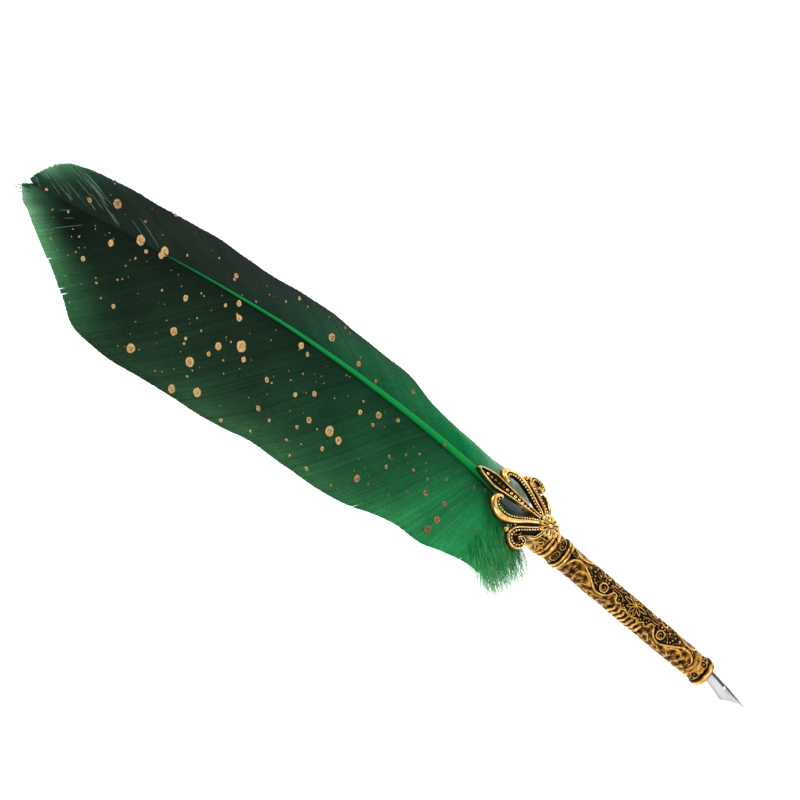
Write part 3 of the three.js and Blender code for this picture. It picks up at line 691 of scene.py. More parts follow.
def socket_relief(relief):
    foot = relief.up.min()
    relief.across = relief.across - SOCKET_REPEAT * np.round(relief.across / SOCKET_REPEAT)
    side = np.where(relief.across < 0, 1.0, -1.0)
    x = np.abs(relief.across)
    relief.across = x
    relief.height[:] = 0.3
    relief.height += 0.05 * np.sin(2 * np.pi * (relief.up - foot) / 3.4 + side)
    relief.sink(4.7, foot + 3.6, 1.3, 1.5, 0.19)
    relief.vine([(3.9, foot + 4.3), (4.7, foot + 4.8), (5.5, foot + 4.3), (4.9, foot + 3.6),
                 (4.2, foot + 3.1), (4.7, foot + 2.4), (5.6, foot + 2.8)], 0.42, 0.44)
    relief.vine([(3.3, foot + 2.2), (3.2, foot + 3.6), (3.7, foot + 5.1), (4.7, foot + 5.4)], 0.3, 0.4)
    relief.vine([(0, foot + 0.9), (3, foot + 1), (6, foot + 0.8)], 0.45, 0.42)
    relief.height -= 0.25 * np.exp(-((relief.up - foot - 1.5) / 0.18) ** 2)
    relief.vine([(6, foot + 1.4), (5.7, foot + 3), (6, foot + 5), (5.8, foot + 6.6)], 0.35, 0.4)
    relief.vine([(2.2, foot + 1.6), (2.6, foot + 2.6), (2.2, foot + 4)], 0.5, 0.42)
    relief.height[relief.up > foot + 9.2] = 0.4


socket_foot, SOCKET_TOP, SOCKET_RADIUS = node_span("crown_socket")
angle, up, height = carved(socket_foot, SOCKET_TOP, SOCKET_RADIUS, socket_relief, 110, 200)
lip = np.clip(np.minimum(up - socket_foot, SOCKET_TOP - up) / 0.6, 0, 1)
outside = SOCKET_RADIUS - RELIEF_DEPTH + height - 0.45 * (1 - lip) ** 2
cup_radius, cup_floor = SOCKET_RADIUS - SOCKET_WALL, SOCKET_TOP - SOCKET_CUP
inside = ((SOCKET_RADIUS - 0.6, SOCKET_TOP), (cup_radius, SOCKET_TOP - 0.1), (cup_radius - 0.6, cup_floor),
          (RING_BORE, cup_floor), (RING_BORE, socket_foot))
piece("crown_socket_cast",
      np.concatenate([turned(angle, outside, up)] + [turned(angle, radius, z) for radius, z in inside]),
      gold, "antique_gold", ["crown_socket"], "joined",
      relief=np.concatenate([(height / RELIEF_DEPTH).ravel(), np.full(len(inside) * angle.size, 0.3)]))


# ---------------------------------------------------------------------------
# Rosette: a cast flower on the socket's front, over the feet of the crown's petals. Each of its
# petals has a bright rim round a dark crease, and a round boss stands in the middle.
# ---------------------------------------------------------------------------
CROWN_THICK = 2.2
CROWN_GAP = 0.3                    # between the socket and the crown's back
CROWN_MID = -(SOCKET_RADIUS + CROWN_GAP + CROWN_THICK / 2)
rosette_low, rosette_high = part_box("rosette")
ROSETTE_HEIGHT = ((rosette_low.z + rosette_high.z) / 2 - NIB_POINT) / MM
ROSETTE_RADIUS = 4.05
ROSETTE_PETALS = 11
ROSETTE_WRAP = 0.05                # how far the flower bends round the socket, per mm squared

rosette_turn = np.linspace(0, 2 * math.pi, ROSETTE_PETALS * 20, endpoint=False)[None, :]
rosette_out = np.linspace(0, 1, 40)[:, None]
petal_phase = np.abs(((rosette_turn * ROSETTE_PETALS / (2 * math.pi)) % 1) - 0.5) * 2
scallop = 1 - 0.16 * petal_phase ** 3
rosette_r = ROSETTE_RADIUS * rosette_out * scallop
cup = 1 - (petal_phase / 0.5) ** 2 - ((rosette_out - 0.52) / 0.27) ** 2
cup = np.clip(cup * 3, 0, 1)                             # the dark hollow in each petal
between = np.clip((petal_phase - 0.8) / 0.16, 0, 1) * np.clip((rosette_out - 0.25) / 0.1, 0, 1)
rosette_form = 0.95 - 0.95 * cup - 0.95 * between + 0 * rosette_r
rosette_form *= np.clip((1 - rosette_out) / 0.05, 0.2, 1)
boss = np.sqrt(np.clip(1 - (rosette_out / 0.22) ** 2, 0, 1))
rosette_form = np.where(rosette_out < 0.22, 0.3 + 1.0 * boss, rosette_form)
moat = np.exp(-((rosette_out - 0.25) / 0.03) ** 2)
rosette_form = rosette_form - 0.6 * moat * (rosette_out > 0.2)
rosette_x = rosette_r * np.sin(rosette_turn)
rosette_z = ROSETTE_HEIGHT + rosette_r * np.cos(rosette_turn)
rosette_back = CROWN_MID + 0.5
front_y = rosette_back - 0.55 - 0.95 * rosette_form + ROSETTE_WRAP * rosette_x ** 2
back_y = rosette_back + ROSETTE_WRAP * rosette_x[::-1] ** 2 + 0 * rosette_form
rosette_front = np.stack([rosette_x, front_y, rosette_z], -1)
rosette_rear = np.stack([rosette_x[::-1], back_y, rosette_z[::-1]], -1)
rosette_shine = np.concatenate([np.clip(rosette_form, 0, 1).ravel(), np.full(rosette_form.size, 0.35)])
rosette = piece("rosette_cast", np.concatenate([rosette_front, rosette_rear]), gold, ends="poles",
                relief=rosette_shine)


def weld(made):
    """Joins points that lie on each other, such as a pole's."""
    form = bmesh.new()
    form.from_mesh(made.data)
    bmesh.ops.remove_doubles(form, verts=form.verts, dist=1e-7)
    form.to_mesh(made.data)
    form.free()


weld(rosette)
ride_on(rosette, "holder", ["rosette"])


# ---------------------------------------------------------------------------
# Crown petals, scrolls and leaves: bars with sunk, blackened channels, cast in the same gold.
# Rows of round beads stand in the channels. Webs and plates fill the gaps between the bars.
# ---------------------------------------------------------------------------
CROWN_BOW = 0.018                  # how far the crown's face bends back, per mm squared


def crown_face(x):
    return CROWN_MID + CROWN_BOW * x * x


def group_with(name, **inputs):
    """A Geometry Nodes tree with named inputs and a finish, and its input and output nodes."""
    tree = bpy.data.node_groups.new(name, "GeometryNodeTree")
    kinds = {"Geometry": "Geometry", **inputs, "Finish": "Material"}
    for label, kind in kinds.items():
        tree.interface.new_socket(label.replace("_", " "), in_out="INPUT", socket_type="NodeSocket" + kind)
    tree.interface.new_socket("Geometry", in_out="OUTPUT", socket_type="NodeSocketGeometry")
    return tree, tree.nodes.new("NodeGroupInput"), tree.nodes.new("NodeGroupOutput")


def end_group(tree, into, shape, out):
    """Gives the last shape its finish and hands it on."""
    finish = node(tree, "GeometryNodeSetMaterial")
    link(tree, shape, "Geometry", "Geometry", finish, "Geometry", "Geometry", out)
    link(tree, into, "Finish", "Material", finish)
    return tree


def keep_as(tree, name):
    return node(tree, "GeometryNodeStoreNamedAttribute", data_type="FLOAT", domain="POINT", Name=name)


def bead_row_tree():
    """Geometry Nodes: beads of one size, evenly spaced along a curve."""
    tree, into, out = group_with("bead_row", Spacing="Float", Bead_radius="Float", Shine="Float")
    spaced = node(tree, "GeometryNodeResampleCurve", mode="LENGTH")
    ball = node(tree, "GeometryNodeMeshUVSphere", Segments=12, Rings=8)
    shine = keep_as(tree, "relief")
    place = node(tree, "GeometryNodeInstanceOnPoints")
    realize = node(tree, "GeometryNodeRealizeInstances")
    link(tree, into, "Geometry", "Curve", spaced, "Curve", "Points", place, "Instances", "Geometry", realize)
    link(tree, into, "Spacing", "Length", spaced)
    link(tree, into, "Bead radius", "Radius", ball, "Mesh", "Geometry", shine, "Geometry",
         "Geometry", node(tree, "GeometryNodeSetShadeSmooth"), "Geometry", "Instance", place)
    link(tree, into, "Shine", "Value", shine)
    return end_group(tree, into, realize, out)


def grow(name, tree, source, material, slot, replaces=(), **settings):
    """Runs a node tree over source with named inputs, and keeps the result as a piece."""
    modifier = source.modifiers.new("make", "NODES")
    modifier.node_group = tree
    settings["Finish"] = material
    for item in tree.interface.items_tree:
        label = item.name.replace(" ", "_")
        if item.item_type == "SOCKET" and item.in_out == "INPUT" and label in settings:
            modifier[item.identifier] = settings[label]
    bpy.context.view_layer.update()
    graph = bpy.context.evaluated_depsgraph_get()
    mesh = bpy.data.meshes.new_from_object(source.evaluated_get(graph))
    source.modifiers.clear()
    bpy.data.objects.remove(source)
    while len(mesh.materials) > 1:       # the nodes leave an empty slot before the finish
        mesh.materials.pop(index=0)
    mesh.polygons.foreach_set("material_index", [0] * len(mesh.polygons))
    ride_on(put(name, mesh), "holder", replaces)


bead_rows = bead_row_tree()


def bead_row(name, line, spacing, radius, shine=0.95):
    """A row of beads along points in millimetres above the nib's point."""
    curve = bpy.data.curves.new(name, "CURVE")
    curve.dimensions = "3D"
    spline = curve.splines.new("POLY")
    spline.points.add(len(line) - 1)
    place = np.asarray(line) * MM + np.array([0, 0, NIB_POINT])
    spline.points.foreach_set("co", np.concatenate([place, np.ones((len(place), 1))], 1).ravel())
    grow(name, bead_rows, put(name + "_line", curve), gold, "antique_gold",
         Spacing=spacing * MM, Bead_radius=radius * MM, Shine=shine)


def crown_bar(name, route, width, side, channel, replaces=(), steps=110, bevel=0.55, flat_share=0.55,
              sink=0.5):
    """A bar along a route on the crown's face, with a sunk channel between channel[0] and
    channel[1], shares of its width from -1 to 1. Returns lines for bead rows."""
    knots = [(i, x, z) for i, (x, z) in enumerate(route)]
    fine = curve_through(knots)(np.linspace(0, len(route) - 1, 40 * len(route)))
    length = np.concatenate([[0], np.cumsum(np.hypot(*np.diff(fine, axis=0).T))])
    share = np.linspace(0, 1, steps)
    centre = np.stack([np.interp(share * length[-1], length, fine[:, k]) for k in (0, 1)], -1)
    along = np.gradient(centre, axis=0)
    along /= np.linalg.norm(along, axis=1, keepdims=True)
    beside = np.stack([along[:, 1], -along[:, 0]], -1)       # right-hand side of the route
    half = width(share) / 2

    def tuck(at):
        """How far a point is outside the rosette, under which the bar's foot dips."""
        reach = np.hypot(np.interp(at, share, centre[:, 0]),
                         np.interp(at, share, centre[:, 1]) - ROSETTE_HEIGHT)
        return np.clip(reach - ROSETTE_RADIUS + 0.5, 0, None)

    across = np.concatenate([np.linspace(-1, 1, 29), np.linspace(1, -1, 15)])
    half_thick = CROWN_THICK / 2
    front = np.arange(across.size) < 29
    low, high = channel
    wall = np.clip(np.minimum(across - low, high - across) / 0.12, 0, 1)
    past_flat = np.clip((np.abs(across) - flat_share) / (1 - flat_share), 0, 1)
    rounded = bevel * (1 - np.sqrt(np.clip(1 - past_flat ** 2, 0, 1)))
    fade = np.clip(np.minimum(share / 0.04, (1 - share) / 0.03), 0, 1)[:, None]
    depth = np.where(front, rounded + sink * wall * fade, 0.5 * rounded)
    y_local = np.where(front, -half_thick + depth, half_thick - depth)
    offset = across[None, :] * half[:, None]
    x = centre[:, :1] + beside[:, :1] * offset
    z = centre[:, 1:] + beside[:, 1:] * offset
    y = crown_face(x) + y_local + 0.75 * np.clip(1 - tuck(share) / 1.6, 0, 1)[:, None]
    points = np.stack([side * x, y, z], -1)
    rub = 0.98 - 0.98 * wall * fade - 0.4 * np.clip((np.abs(across) - 0.7) / 0.3, 0, 1)
    shine = np.where(front, rub, 0.5) + 0 * x
    shine = np.where((np.abs(across) > 0.97)[None, :], 0.55, shine)
    piece(name, points, gold, "antique_gold", replaces, relief=shine.ravel())

    def line(share_across, first, last, proud):
        chosen = (share >= first) & (share <= last)
        xs = centre[chosen, 0] + beside[chosen, 0] * half[chosen] * share_across
        zs = centre[chosen, 1] + beside[chosen, 1] * half[chosen] * share_across
        return np.stack([side * xs, crown_face(xs) - half_thick + sink - proud, zs], -1)

    return line


def on_crown(points):
    return [(x, ROSETTE_HEIGHT + rise) for x, rise in points]


LOOP_ROUTE = on_crown([(1.2, 3.6), (1.95, 5.1), (3.6, 8), (5.4, 10.8), (6.9, 13.7), (7.55, 16.3),
                       (7.35, 18.6), (6.4, 20.5), (5, 21.4), (3.75, 20.9), (3.05, 19.5)])
SCROLL_ROUTE = on_crown([(2.7, 2.5), (3.95, 3.9), (5.4, 5.9), (7, 8.3), (8.4, 10.1), (10, 10.9),
                         (11.4, 10.4), (12.2, 8.9), (12.1, 7.2), (11.2, 6), (10, 5.9), (9.4, 6.8),
                         (9.9, 7.9)])
LEAF_ROUTE = on_crown([(8.1, 5.9), (7.6, 4.4), (6.5, 3.2), (5.1, 2.3), (3.6, 1.4)])
LOOP_WEB = on_crown([(1.9, 3.2), (3.0, 4.9), (4.4, 6.9), (5.9, 9.1), (7.3, 11.3)])
SCROLL_WEB = on_crown([(3.2, 2.2), (4.6, 3.5), (5.9, 4.9), (7.4, 6.7), (8.6, 8.3)])
SCROLL_EYE = on_crown([(9.4, 8.8), (10.3, 8.2), (11.1, 7.4)])
WEB_SINK = 0.75                    # how far the webs lie behind the bars' faces
for word, side in (("left", -1), ("right", 1)):
    loop_line = crown_bar(
        word + "_loop_cast", LOOP_ROUTE,
        lambda s: np.interp(s, (0, 0.25, 0.45, 0.7, 0.88, 1), (1.5, 1.9, 2.4, 3.0, 2.7, 1.7)), side,
        (-1.12, -0.1), [word + "_loop"], bevel=1.1, flat_share=0.3)
    bead_row(word + "_loop_beads", loop_line(-0.66, 0.02, 0.93, 0.2), 0.98, 0.33)
    scroll_line = crown_bar(
        word + "_scroll_cast", SCROLL_ROUTE,
        lambda s: np.interp(s, (0, 0.3, 0.55, 0.8, 1), (1.5, 1.8, 2.3, 2.0, 1.3)), side,
        (-0.5, 1.12), [word + "_scroll"])
    bead_row(word + "_scroll_beads", scroll_line(0.22, 0.03, 0.97, 0.2), 0.98, 0.36)
    crown_bar(word + "_leaf_cast", LEAF_ROUTE,
              lambda s: 1.2 * (0.4 + 0.6 * np.sin(np.pi / 2 * s)), side, (-0.35, 0.35), [word + "_leaf"], 40)
    for part, route, width, steps in (("_loop_web", LOOP_WEB, lambda s: 2.3 - 1.5 * s, 30),
                                      ("_scroll_eye", SCROLL_EYE, lambda s: 2.6 - 0.4 * s, 20),
                                      ("_scroll_web", SCROLL_WEB, lambda s: 2.0 - 1.3 * s, 30)):
        crown_bar(word + part, route, width, side, (-2, 2), steps=steps, sink=WEB_SINK)


# ---------------------------------------------------------------------------
# Centre petal: a lance-shaped bar, cast in the same gold, with a deep blackened channel and
# one row of round beads that grow towards its widest part.
# ---------------------------------------------------------------------------
petal_low, petal_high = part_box("centre_petal")
PETAL_FOOT = (petal_low.z - NIB_POINT) / MM
PETAL_LENGTH = (petal_high.z - petal_low.z) / MM
petal_half = curve_through([
    (0, 0.55), (0.24, 0.95), (0.49, 1.5), (0.63, 1.96), (0.73, 2.15), (0.87, 1.5), (0.96, 0.8), (1, 0.22)])
petal_share = np.linspace(0, 1, 120)[:, None]
petal_q = np.concatenate([np.linspace(-1, 1, 33), np.linspace(1, -1, 15)])[None, :]
petal_front = np.arange(48)[None, :] < 33
half_width = petal_half(petal_share)
rim = 0.34 / np.maximum(half_width, 0.4)
petal_wall = np.clip((1 - rim - np.abs(petal_q)) / 0.12, 0, 1) * np.clip((0.975 - petal_share) / 0.03, 0, 1)
edge_round = 0.18 * np.clip((np.abs(petal_q) - 0.86) / 0.14, 0, 1) ** 2
petal_depth = np.where(petal_front, 0.75 * petal_wall + edge_round, 0.3 * np.abs(petal_q) ** 4)
petal_y = np.where(petal_front, -CROWN_THICK / 2 + petal_depth, CROWN_THICK / 2 - petal_depth)
petal_x = petal_q * half_width
petal_points = np.stack([petal_x, crown_face(petal_x) + petal_y,
                         np.broadcast_to(PETAL_FOOT + petal_share * PETAL_LENGTH, petal_x.shape)], -1)
petal_shine = np.where(petal_front, 0.95 - 0.95 * petal_wall, 0.55) + 0 * petal_x
piece("centre_petal_cast", petal_points, gold, "antique_gold", ["centre_petal"], relief=petal_shine.ravel())
for number, (rise, size, shine) in enumerate((
        (2.4, 0.28, 0.95), (3.6, 0.32, 0.95), (4.85, 0.37, 0.95), (6.2, 0.43, 0.95), (7.65, 0.48, 0.95),
        (9.2, 0.53, 0.95), (10.85, 0.57, 0.95), (12.6, 0.6, 0.95), (14.4, 0.62, 0.9), (16.1, 0.55, 0.6),
        (17.8, 0.5, 0.5), (19.5, 0.5, 0.55), (21.2, 0.48, 0.6), (22.9, 0.6, 0.95))):
    height = PETAL_FOOT + rise
    bead_row(f"petal_bead_{number}", [(0, CROWN_MID - 0.5, height), (0.01, CROWN_MID - 0.5, height)], 1.0,
             size, shine)


# ---------------------------------------------------------------------------
# Balls: a small round ball, cast in the same gold with six shallow dimples, stands on top of
# each scroll.
# ---------------------------------------------------------------------------
for word in ("left", "right"):
    low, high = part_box(word + "_ball")
    centre = (low + high) / 2
    radius = (high.x - low.x) / 2 / MM
    polar = np.linspace(0, math.pi, 25)[:, None]
    around = np.linspace(0, 2 * math.pi, 36, endpoint=False)[None, :]
    dimple = 1 - 0.02 * np.abs(np.sin(3 * around)) * np.sin(polar)
    ball_points = np.stack([
        centre.x / MM + radius * dimple * np.sin(polar) * np.cos(around),
        centre.y / MM + radius * dimple * np.sin(polar) * np.sin(around),
        (centre.z - NIB_POINT) / MM + radius * np.cos(polar) + 0 * around], -1)
    # Painted shade: the ball is darker towards both poles and brightest round its middle.
    shine = 0.9 - 0.35 * np.cos(polar) ** 2 + 0 * around
    ball = piece(word + "_ball_cast", ball_points, gold, ends="poles", relief=shine.ravel())
    weld(ball)
    ride_on(ball, "holder", [word + "_ball"])


# ---------------------------------------------------------------------------
# Feather shaft: the quill's own horn, glued into the socket. Its foot is bare and grey, and
# above that it is dyed bright green and thins to nothing at the tip.
# ---------------------------------------------------------------------------
FEATHER_RISE = 193.5
shaft_x = curve_through([(0, 0), (12, 0.3), (25, 0.5), (60, 0.3), (97, -2.1), (123, -5.5), (147, -9.5),
                         (172, -13.9), (194, -18)])
shaft_y = curve_through([(-14, 0), (-3, 0), (6, -1.6), (15, -3.2), (25, -3.9), (40, -4.3), (60, -4.1),
                         (97, -3.2), (123, -2), (147, -0.5), (172, 1.4), (194, 3.4)])
shaft_radius = curve_through([(-22, 1.36), (-6, 1.6), (10, 1.6), (25, 1.3), (60, 0.96), (97, 0.62),
                              (125, 0.4), (147, 0.28), (194, 0.1)])


def srgb(red, green, blue):
    """A colour given as 0 to 255, as linear light."""
    values = np.array([red, green, blue], float) / 255
    return np.where(values <= 0.04045, values / 12.92, ((values + 0.055) / 1.055) ** 2.4)


def dyed_quill():
    material, tree, shader = new_material("dyed_quill", Roughness=0.38, Specular_IOR_Level=0.08)
    streak = grain_over(tree, 1, stretch=(5000, 5000, 120))
    tint = node(tree, "ShaderNodeVectorMath", operation="SCALE")
    link(tree, attribute(tree, "dye"), "Color", 0, tint, "Vector", "Base Color", shader)
    link(tree, streak, "Fac", "Value", node(tree, "ShaderNodeMapRange", To_Min=0.8, To_Max=1.15),
         "Result", "Scale", tint)
    roughen(tree, shader, streak, Strength=0.1, Distance=0.0002)
    return material


shaft_foot = node_span("quill_shaft")[0] - SOCKET_TOP
shaft_rise = np.concatenate([np.linspace(shaft_foot, 30, 60), np.linspace(31, FEATHER_RISE - 1, 140)])
shaft_sides = 28
shaft_turn = np.linspace(0, 2 * math.pi, shaft_sides, endpoint=False)[None, :]
flatten = 1 - 0.12 * np.clip(shaft_rise / 40, 0, 1)[:, None] * (np.abs(np.sin(shaft_turn)) ** 6)
groove = np.exp(-((shaft_turn - 0.5 * math.pi) / 0.3) ** 2)           # down the shaft's back
groove = 1 - 0.22 * np.clip((shaft_rise - 20) / 20, 0, 1)[:, None] * groove
shaft_r = shaft_radius(shaft_rise)[:, None] * flatten * groove
shaft_points = np.stack([
    shaft_x(shaft_rise)[:, None] + shaft_r * np.cos(shaft_turn),
    shaft_y(shaft_rise)[:, None] + shaft_r * np.sin(shaft_turn),
    np.broadcast_to(SOCKET_TOP + shaft_rise[:, None], shaft_r.shape)], -1)
shaft_dye = curve_through([
    (-22, *srgb(150, 160, 158)), (6, *srgb(120, 132, 135)), (15, *srgb(90, 125, 115)),
    (21, *srgb(20, 130, 70)), (30, *srgb(4, 140, 62)), (70, *srgb(2, 138, 60)), (110, *srgb(2, 132, 62)),
    (138, *srgb(2, 104, 54)), (148, *srgb(6, 52, 32)), (158, *srgb(12, 30, 20)),
    (194, *srgb(24, 40, 30))])(shaft_rise)
shaft_colour = np.concatenate([np.clip(shaft_dye, 0, 1), np.ones((shaft_rise.size, 1))], 1)
shaft_colour = np.repeat(shaft_colour[:, None, :], shaft_sides, axis=1)
piece("quill_shaft_dyed", shaft_points, dyed_quill(), "quill", ["quill_shaft"],
      dye=shaft_colour.reshape(-1, 4))


# ---------------------------------------------------------------------------
# Vanes: hundreds of flat barbs, each lapped over the next like a shingle, hooked into a
# sheet that is split in a few places. Dyed emerald at the foot to near black above, with
# painted light that pales the outer edges, the tip and the narrow vane's foot.
# ---------------------------------------------------------------------------
random = np.random.default_rng(7)
VANE_CAMBER = 0.0015
wide_edge = curve_through([
    (-4, -24), (9.2, -25.6), (15, -26.4), (22, -28.3), (32, -31.4), (44, -32.6), (62, -38.1), (75, -39.6),
    (87, -40.5), (98, -41.4), (107, -43.4), (131, -46.3), (142, -47.7), (151, -47.9), (160, -46.6),
    (166, -42), (171, -37.6), (183, -29), (188, -25), (190, -23.7), (192.4, -19.4)])
narrow_edge = curve_through([
    (-2, 8.0), (5, 9.4), (12, 8.7), (20, 7.5), (30, 7.6), (46, 8.6), (57, 11.2), (72, 11.5), (90, 11.4),
    (104, 9.8), (115, 8.3), (131, 7.2), (148, 4.6), (167, 1.4), (182, -3.2), (186.5, -7.2), (189, -11.5),
    (190.8, -15.5), (191.6, -18.5)])


def dyed_barbs():
    material, tree, shader = new_material("dyed_barbs", Roughness=0.55, Specular_IOR_Level=0.04)
    fine = grain_over(tree, 1600, 3)
    both = node(tree, "ShaderNodeMath")
    tint = node(tree, "ShaderNodeVectorMath", operation="SCALE")
    # The dye attribute holds the vanes' dye with painted light on their edges, tip and foot.
    link(tree, attribute(tree, "dye"), "Color", 0, tint, "Vector", "Base Color", shader)
    link(tree, grain_over(tree, 60), "Fac", 1, both)
    link(tree, fine, "Fac", 0, both, "Value",
         "Value", node(tree, "ShaderNodeMapRange", From_Min=0.6, From_Max=1.4, To_Min=0.7, To_Max=1.3),
         "Result", "Scale", tint)
    roughen(tree, shader, fine, Strength=0.15, Distance=0.0001)
    return material


def colour_field(near, middle, edge):
    """Dye and painted light by rise and by share of the way out, from three columns of knots."""
    columns = [curve_through([(rise, *srgb(*colour)) for rise, colour in knots])
               for knots in (near, middle, edge)]

    def dye(rise, share):
        colours = [column(rise) for column in columns]
        first = np.clip(share / 0.5, 0, 1)[..., None]
        second = np.clip((share - 0.5) / 0.5, 0, 1)[..., None] ** 2.4
        inner = colours[0] * (1 - first) + colours[1] * first
        return inner * (1 - second) + colours[2] * second

    return dye


# The dye runs from emerald at the foot to near black above. The pale knots at the outer edge, the tip and
# the narrow vane's foot are painted light, as if it shone through the thin barbs.
wide_dye_and_painted_light = colour_field(
    near=[(-5, (32, 134, 78)), (20, (26, 104, 60)), (45, (24, 76, 46)), (70, (20, 58, 38)),
          (100, (22, 45, 31)), (130, (22, 37, 27)), (165, (22, 35, 27)), (180, (25, 39, 29)),
          (193, (40, 80, 54))],
    middle=[(-5, (38, 158, 90)), (20, (36, 142, 82)), (45, (32, 104, 60)), (70, (30, 80, 49)),
            (100, (32, 64, 42)), (130, (31, 57, 39)), (150, (27, 47, 33)), (165, (25, 43, 31)),
            (180, (28, 50, 35)), (193, (80, 140, 98))],
    edge=[(-5, (48, 174, 98)), (20, (46, 162, 92)), (45, (54, 146, 88)), (70, (60, 124, 78)),
          (100, (60, 108, 71)), (130, (52, 90, 60)), (150, (43, 80, 53)), (163, (62, 116, 76)),
          (180, (106, 174, 122)), (193, (156, 212, 172))])
narrow_dye_and_painted_light = colour_field(
    near=[(0, (170, 218, 194)), (14, (64, 150, 104)), (24, (28, 114, 66)), (50, (24, 100, 58)),
          (80, (20, 78, 49)), (110, (23, 51, 37)), (150, (25, 40, 30)), (175, (25, 38, 30)),
          (192, (28, 48, 35))],
    middle=[(0, (226, 243, 234)), (13, (150, 208, 178)), (24, (50, 142, 90)), (50, (34, 116, 70)),
            (80, (32, 80, 53)), (110, (34, 51, 41)), (150, (29, 40, 32)), (175, (25, 38, 30)),
            (192, (36, 66, 47))],
    edge=[(0, (240, 250, 245)), (12, (222, 242, 231)), (20, (136, 196, 158)), (38, (70, 146, 98)),
          (60, (52, 94, 68)), (90, (46, 56, 49)), (130, (38, 44, 39)), (160, (32, 43, 36)),
          (178, (46, 84, 58)), (192, (96, 154, 116))])
wide_slope = curve_through([(-4, 0), (4.6, 0.16), (14, 0.36), (28, 0.68), (60, 0.82), (150, 0.95),
                            (194, 1.35)])
narrow_slope = curve_through([(-2, 0.1), (8, 0.7), (30, 1.1), (100, 1.5), (160, 2.4), (194, 3.4)])


def vane_face(x, rise):
    """The vane's front, in millimetres along the view axis, at x and rise."""
    away = x - shaft_x(rise)
    flutter = 0.25 * np.sin(rise / 6.1 + 0.11 * away) + 0.12 * np.sin(rise / 2.3 - 0.2 * away)
    flutter = flutter * np.clip(np.abs(away) / 12, 0, 1)
    return shaft_y(np.clip(rise, -14, 194)) + VANE_CAMBER * away ** 2 + flutter


BARB_STEPS = 17                    # points along a barb
BARB_THICK = 0.06
PALE_BARB = srgb(150, 190, 168)    # where a parted barb catches the light


def make_vane(name, side, edge, slope, gather, roots, splits, dye, spacing, replaces, pale_share):
    """Lapped barbs between the shaft and a vane's edge. side is -1 for the wide vane.
    pale_share is the share of barbs, by height, that have parted and catch the light."""
    steps = BARB_STEPS
    count = int((roots[1] - roots[0]) / spacing)
    root = roots[0] + spacing * np.arange(count)
    march = np.arange(0, 62, 0.05)

    def rise_at(start, away):
        return start + slope(start) * gather(away)

    lapped = root + spacing * 1.45
    jitter = random.normal(0, 0.05, count)

    def length_of(first):
        """How far out each barb runs before it meets the vane's edge."""
        start = first[:, None]
        x = shaft_x(start) + side * march[None, :]
        rise = rise_at(start, march[None, :])
        inside = (side * x < side * edge(rise)) & (rise < FEATHER_RISE - 1)
        return np.maximum(march[np.argmin(inside, axis=1)], 0.6) + jitter

    reaches = length_of(root), length_of(lapped)
    # Barbs that part company: each split pushes its upper side up and its lower side down.
    share = np.linspace(0, 1, steps)[None, :]

    def parted(first, reach):
        push = np.zeros((count, steps))
        for at, opening, first_share in splits:
            gap = root - at
            strength = opening * np.exp(-np.abs(gap) / 5.0) * np.sign(gap + 1e-6)
            push += strength[:, None] * np.clip((share - first_share) / (1 - first_share), 0, 1) ** 1.6
        away = share * reach[:, None]
        base = shaft_x(first)[:, None] + side * (away + 0.55 * shaft_radius(first)[:, None])
        up = rise_at(first[:, None], away) + push
        return base, vane_face(base, up), up

    lift = random.normal(0, 0.02, (count, 1))
    x0, y0, up0 = parted(root, reaches[0])
    x1, y1, up1 = parted(lapped, reaches[1])
    # The lap is shallower where a barb runs steeply and so is narrow.
    lean = np.abs(np.gradient(x0, axis=1))
    lap = 0.15 * (lean / np.hypot(lean, np.gradient(up0, axis=1)) / 0.78) ** 1.3
    taper = np.clip((1 - share) / 0.03, 0.8, 1)
    x1, up1 = x0 + (x1 - x0) * taper, up0 + (up1 - up0) * taper
    thick = BARB_THICK
    rings = np.stack([
        np.stack([x0, y0 + 0.02 - lap + lift, up0], -1), np.stack([x1, y1 + 0.02 + lift, up1], -1),
        np.stack([x1, y1 + 0.02 + lift + thick, up1], -1),
        np.stack([x0, y0 + 0.02 - lap + lift + thick, up0], -1)],
        axis=2)
    rings[..., 2] += SOCKET_TOP
    points = rings.reshape(-1, 3)
    one = outward(points[:steps * 4], np.concatenate([grid_faces(steps, 4), end_faces(steps, 4)]))
    faces = (one[None] + (np.arange(count) * steps * 4)[:, None, None]).reshape(-1, 4)
    tone = random.normal(1, 0.1, (count, 1)) * (1 + 0.05 * np.sin(root / 1.7))[:, None]
    reach = reaches[0][:, None]
    # Dye with painted light, from the vane's colour field.
    colour = dye(np.clip(up0, -5, 193), np.clip(share * reach / np.maximum(reach, 4), 0, 1))
    begins = random.uniform(0.05, 0.85, (count, 1))
    ends = begins + random.uniform(0.1, 0.4, (count, 1))
    pale = (random.uniform(0, 1, (count, 1)) < pale_share(root)[:, None]) * (share > begins) * (share < ends)
    colour = np.clip(colour * tone[..., None], 0, 1)
    colour = colour + (PALE_BARB - colour) * (0.32 * pale)[..., None]
    colour = np.concatenate([colour, np.ones(colour.shape[:2] + (1,))], -1)
    colour = np.repeat(colour[:, :, None, :], 4, axis=2)
    mesh_piece(name, points, faces, vane_finish, "vane", replaces, {"dye": colour.reshape(-1, 4)})


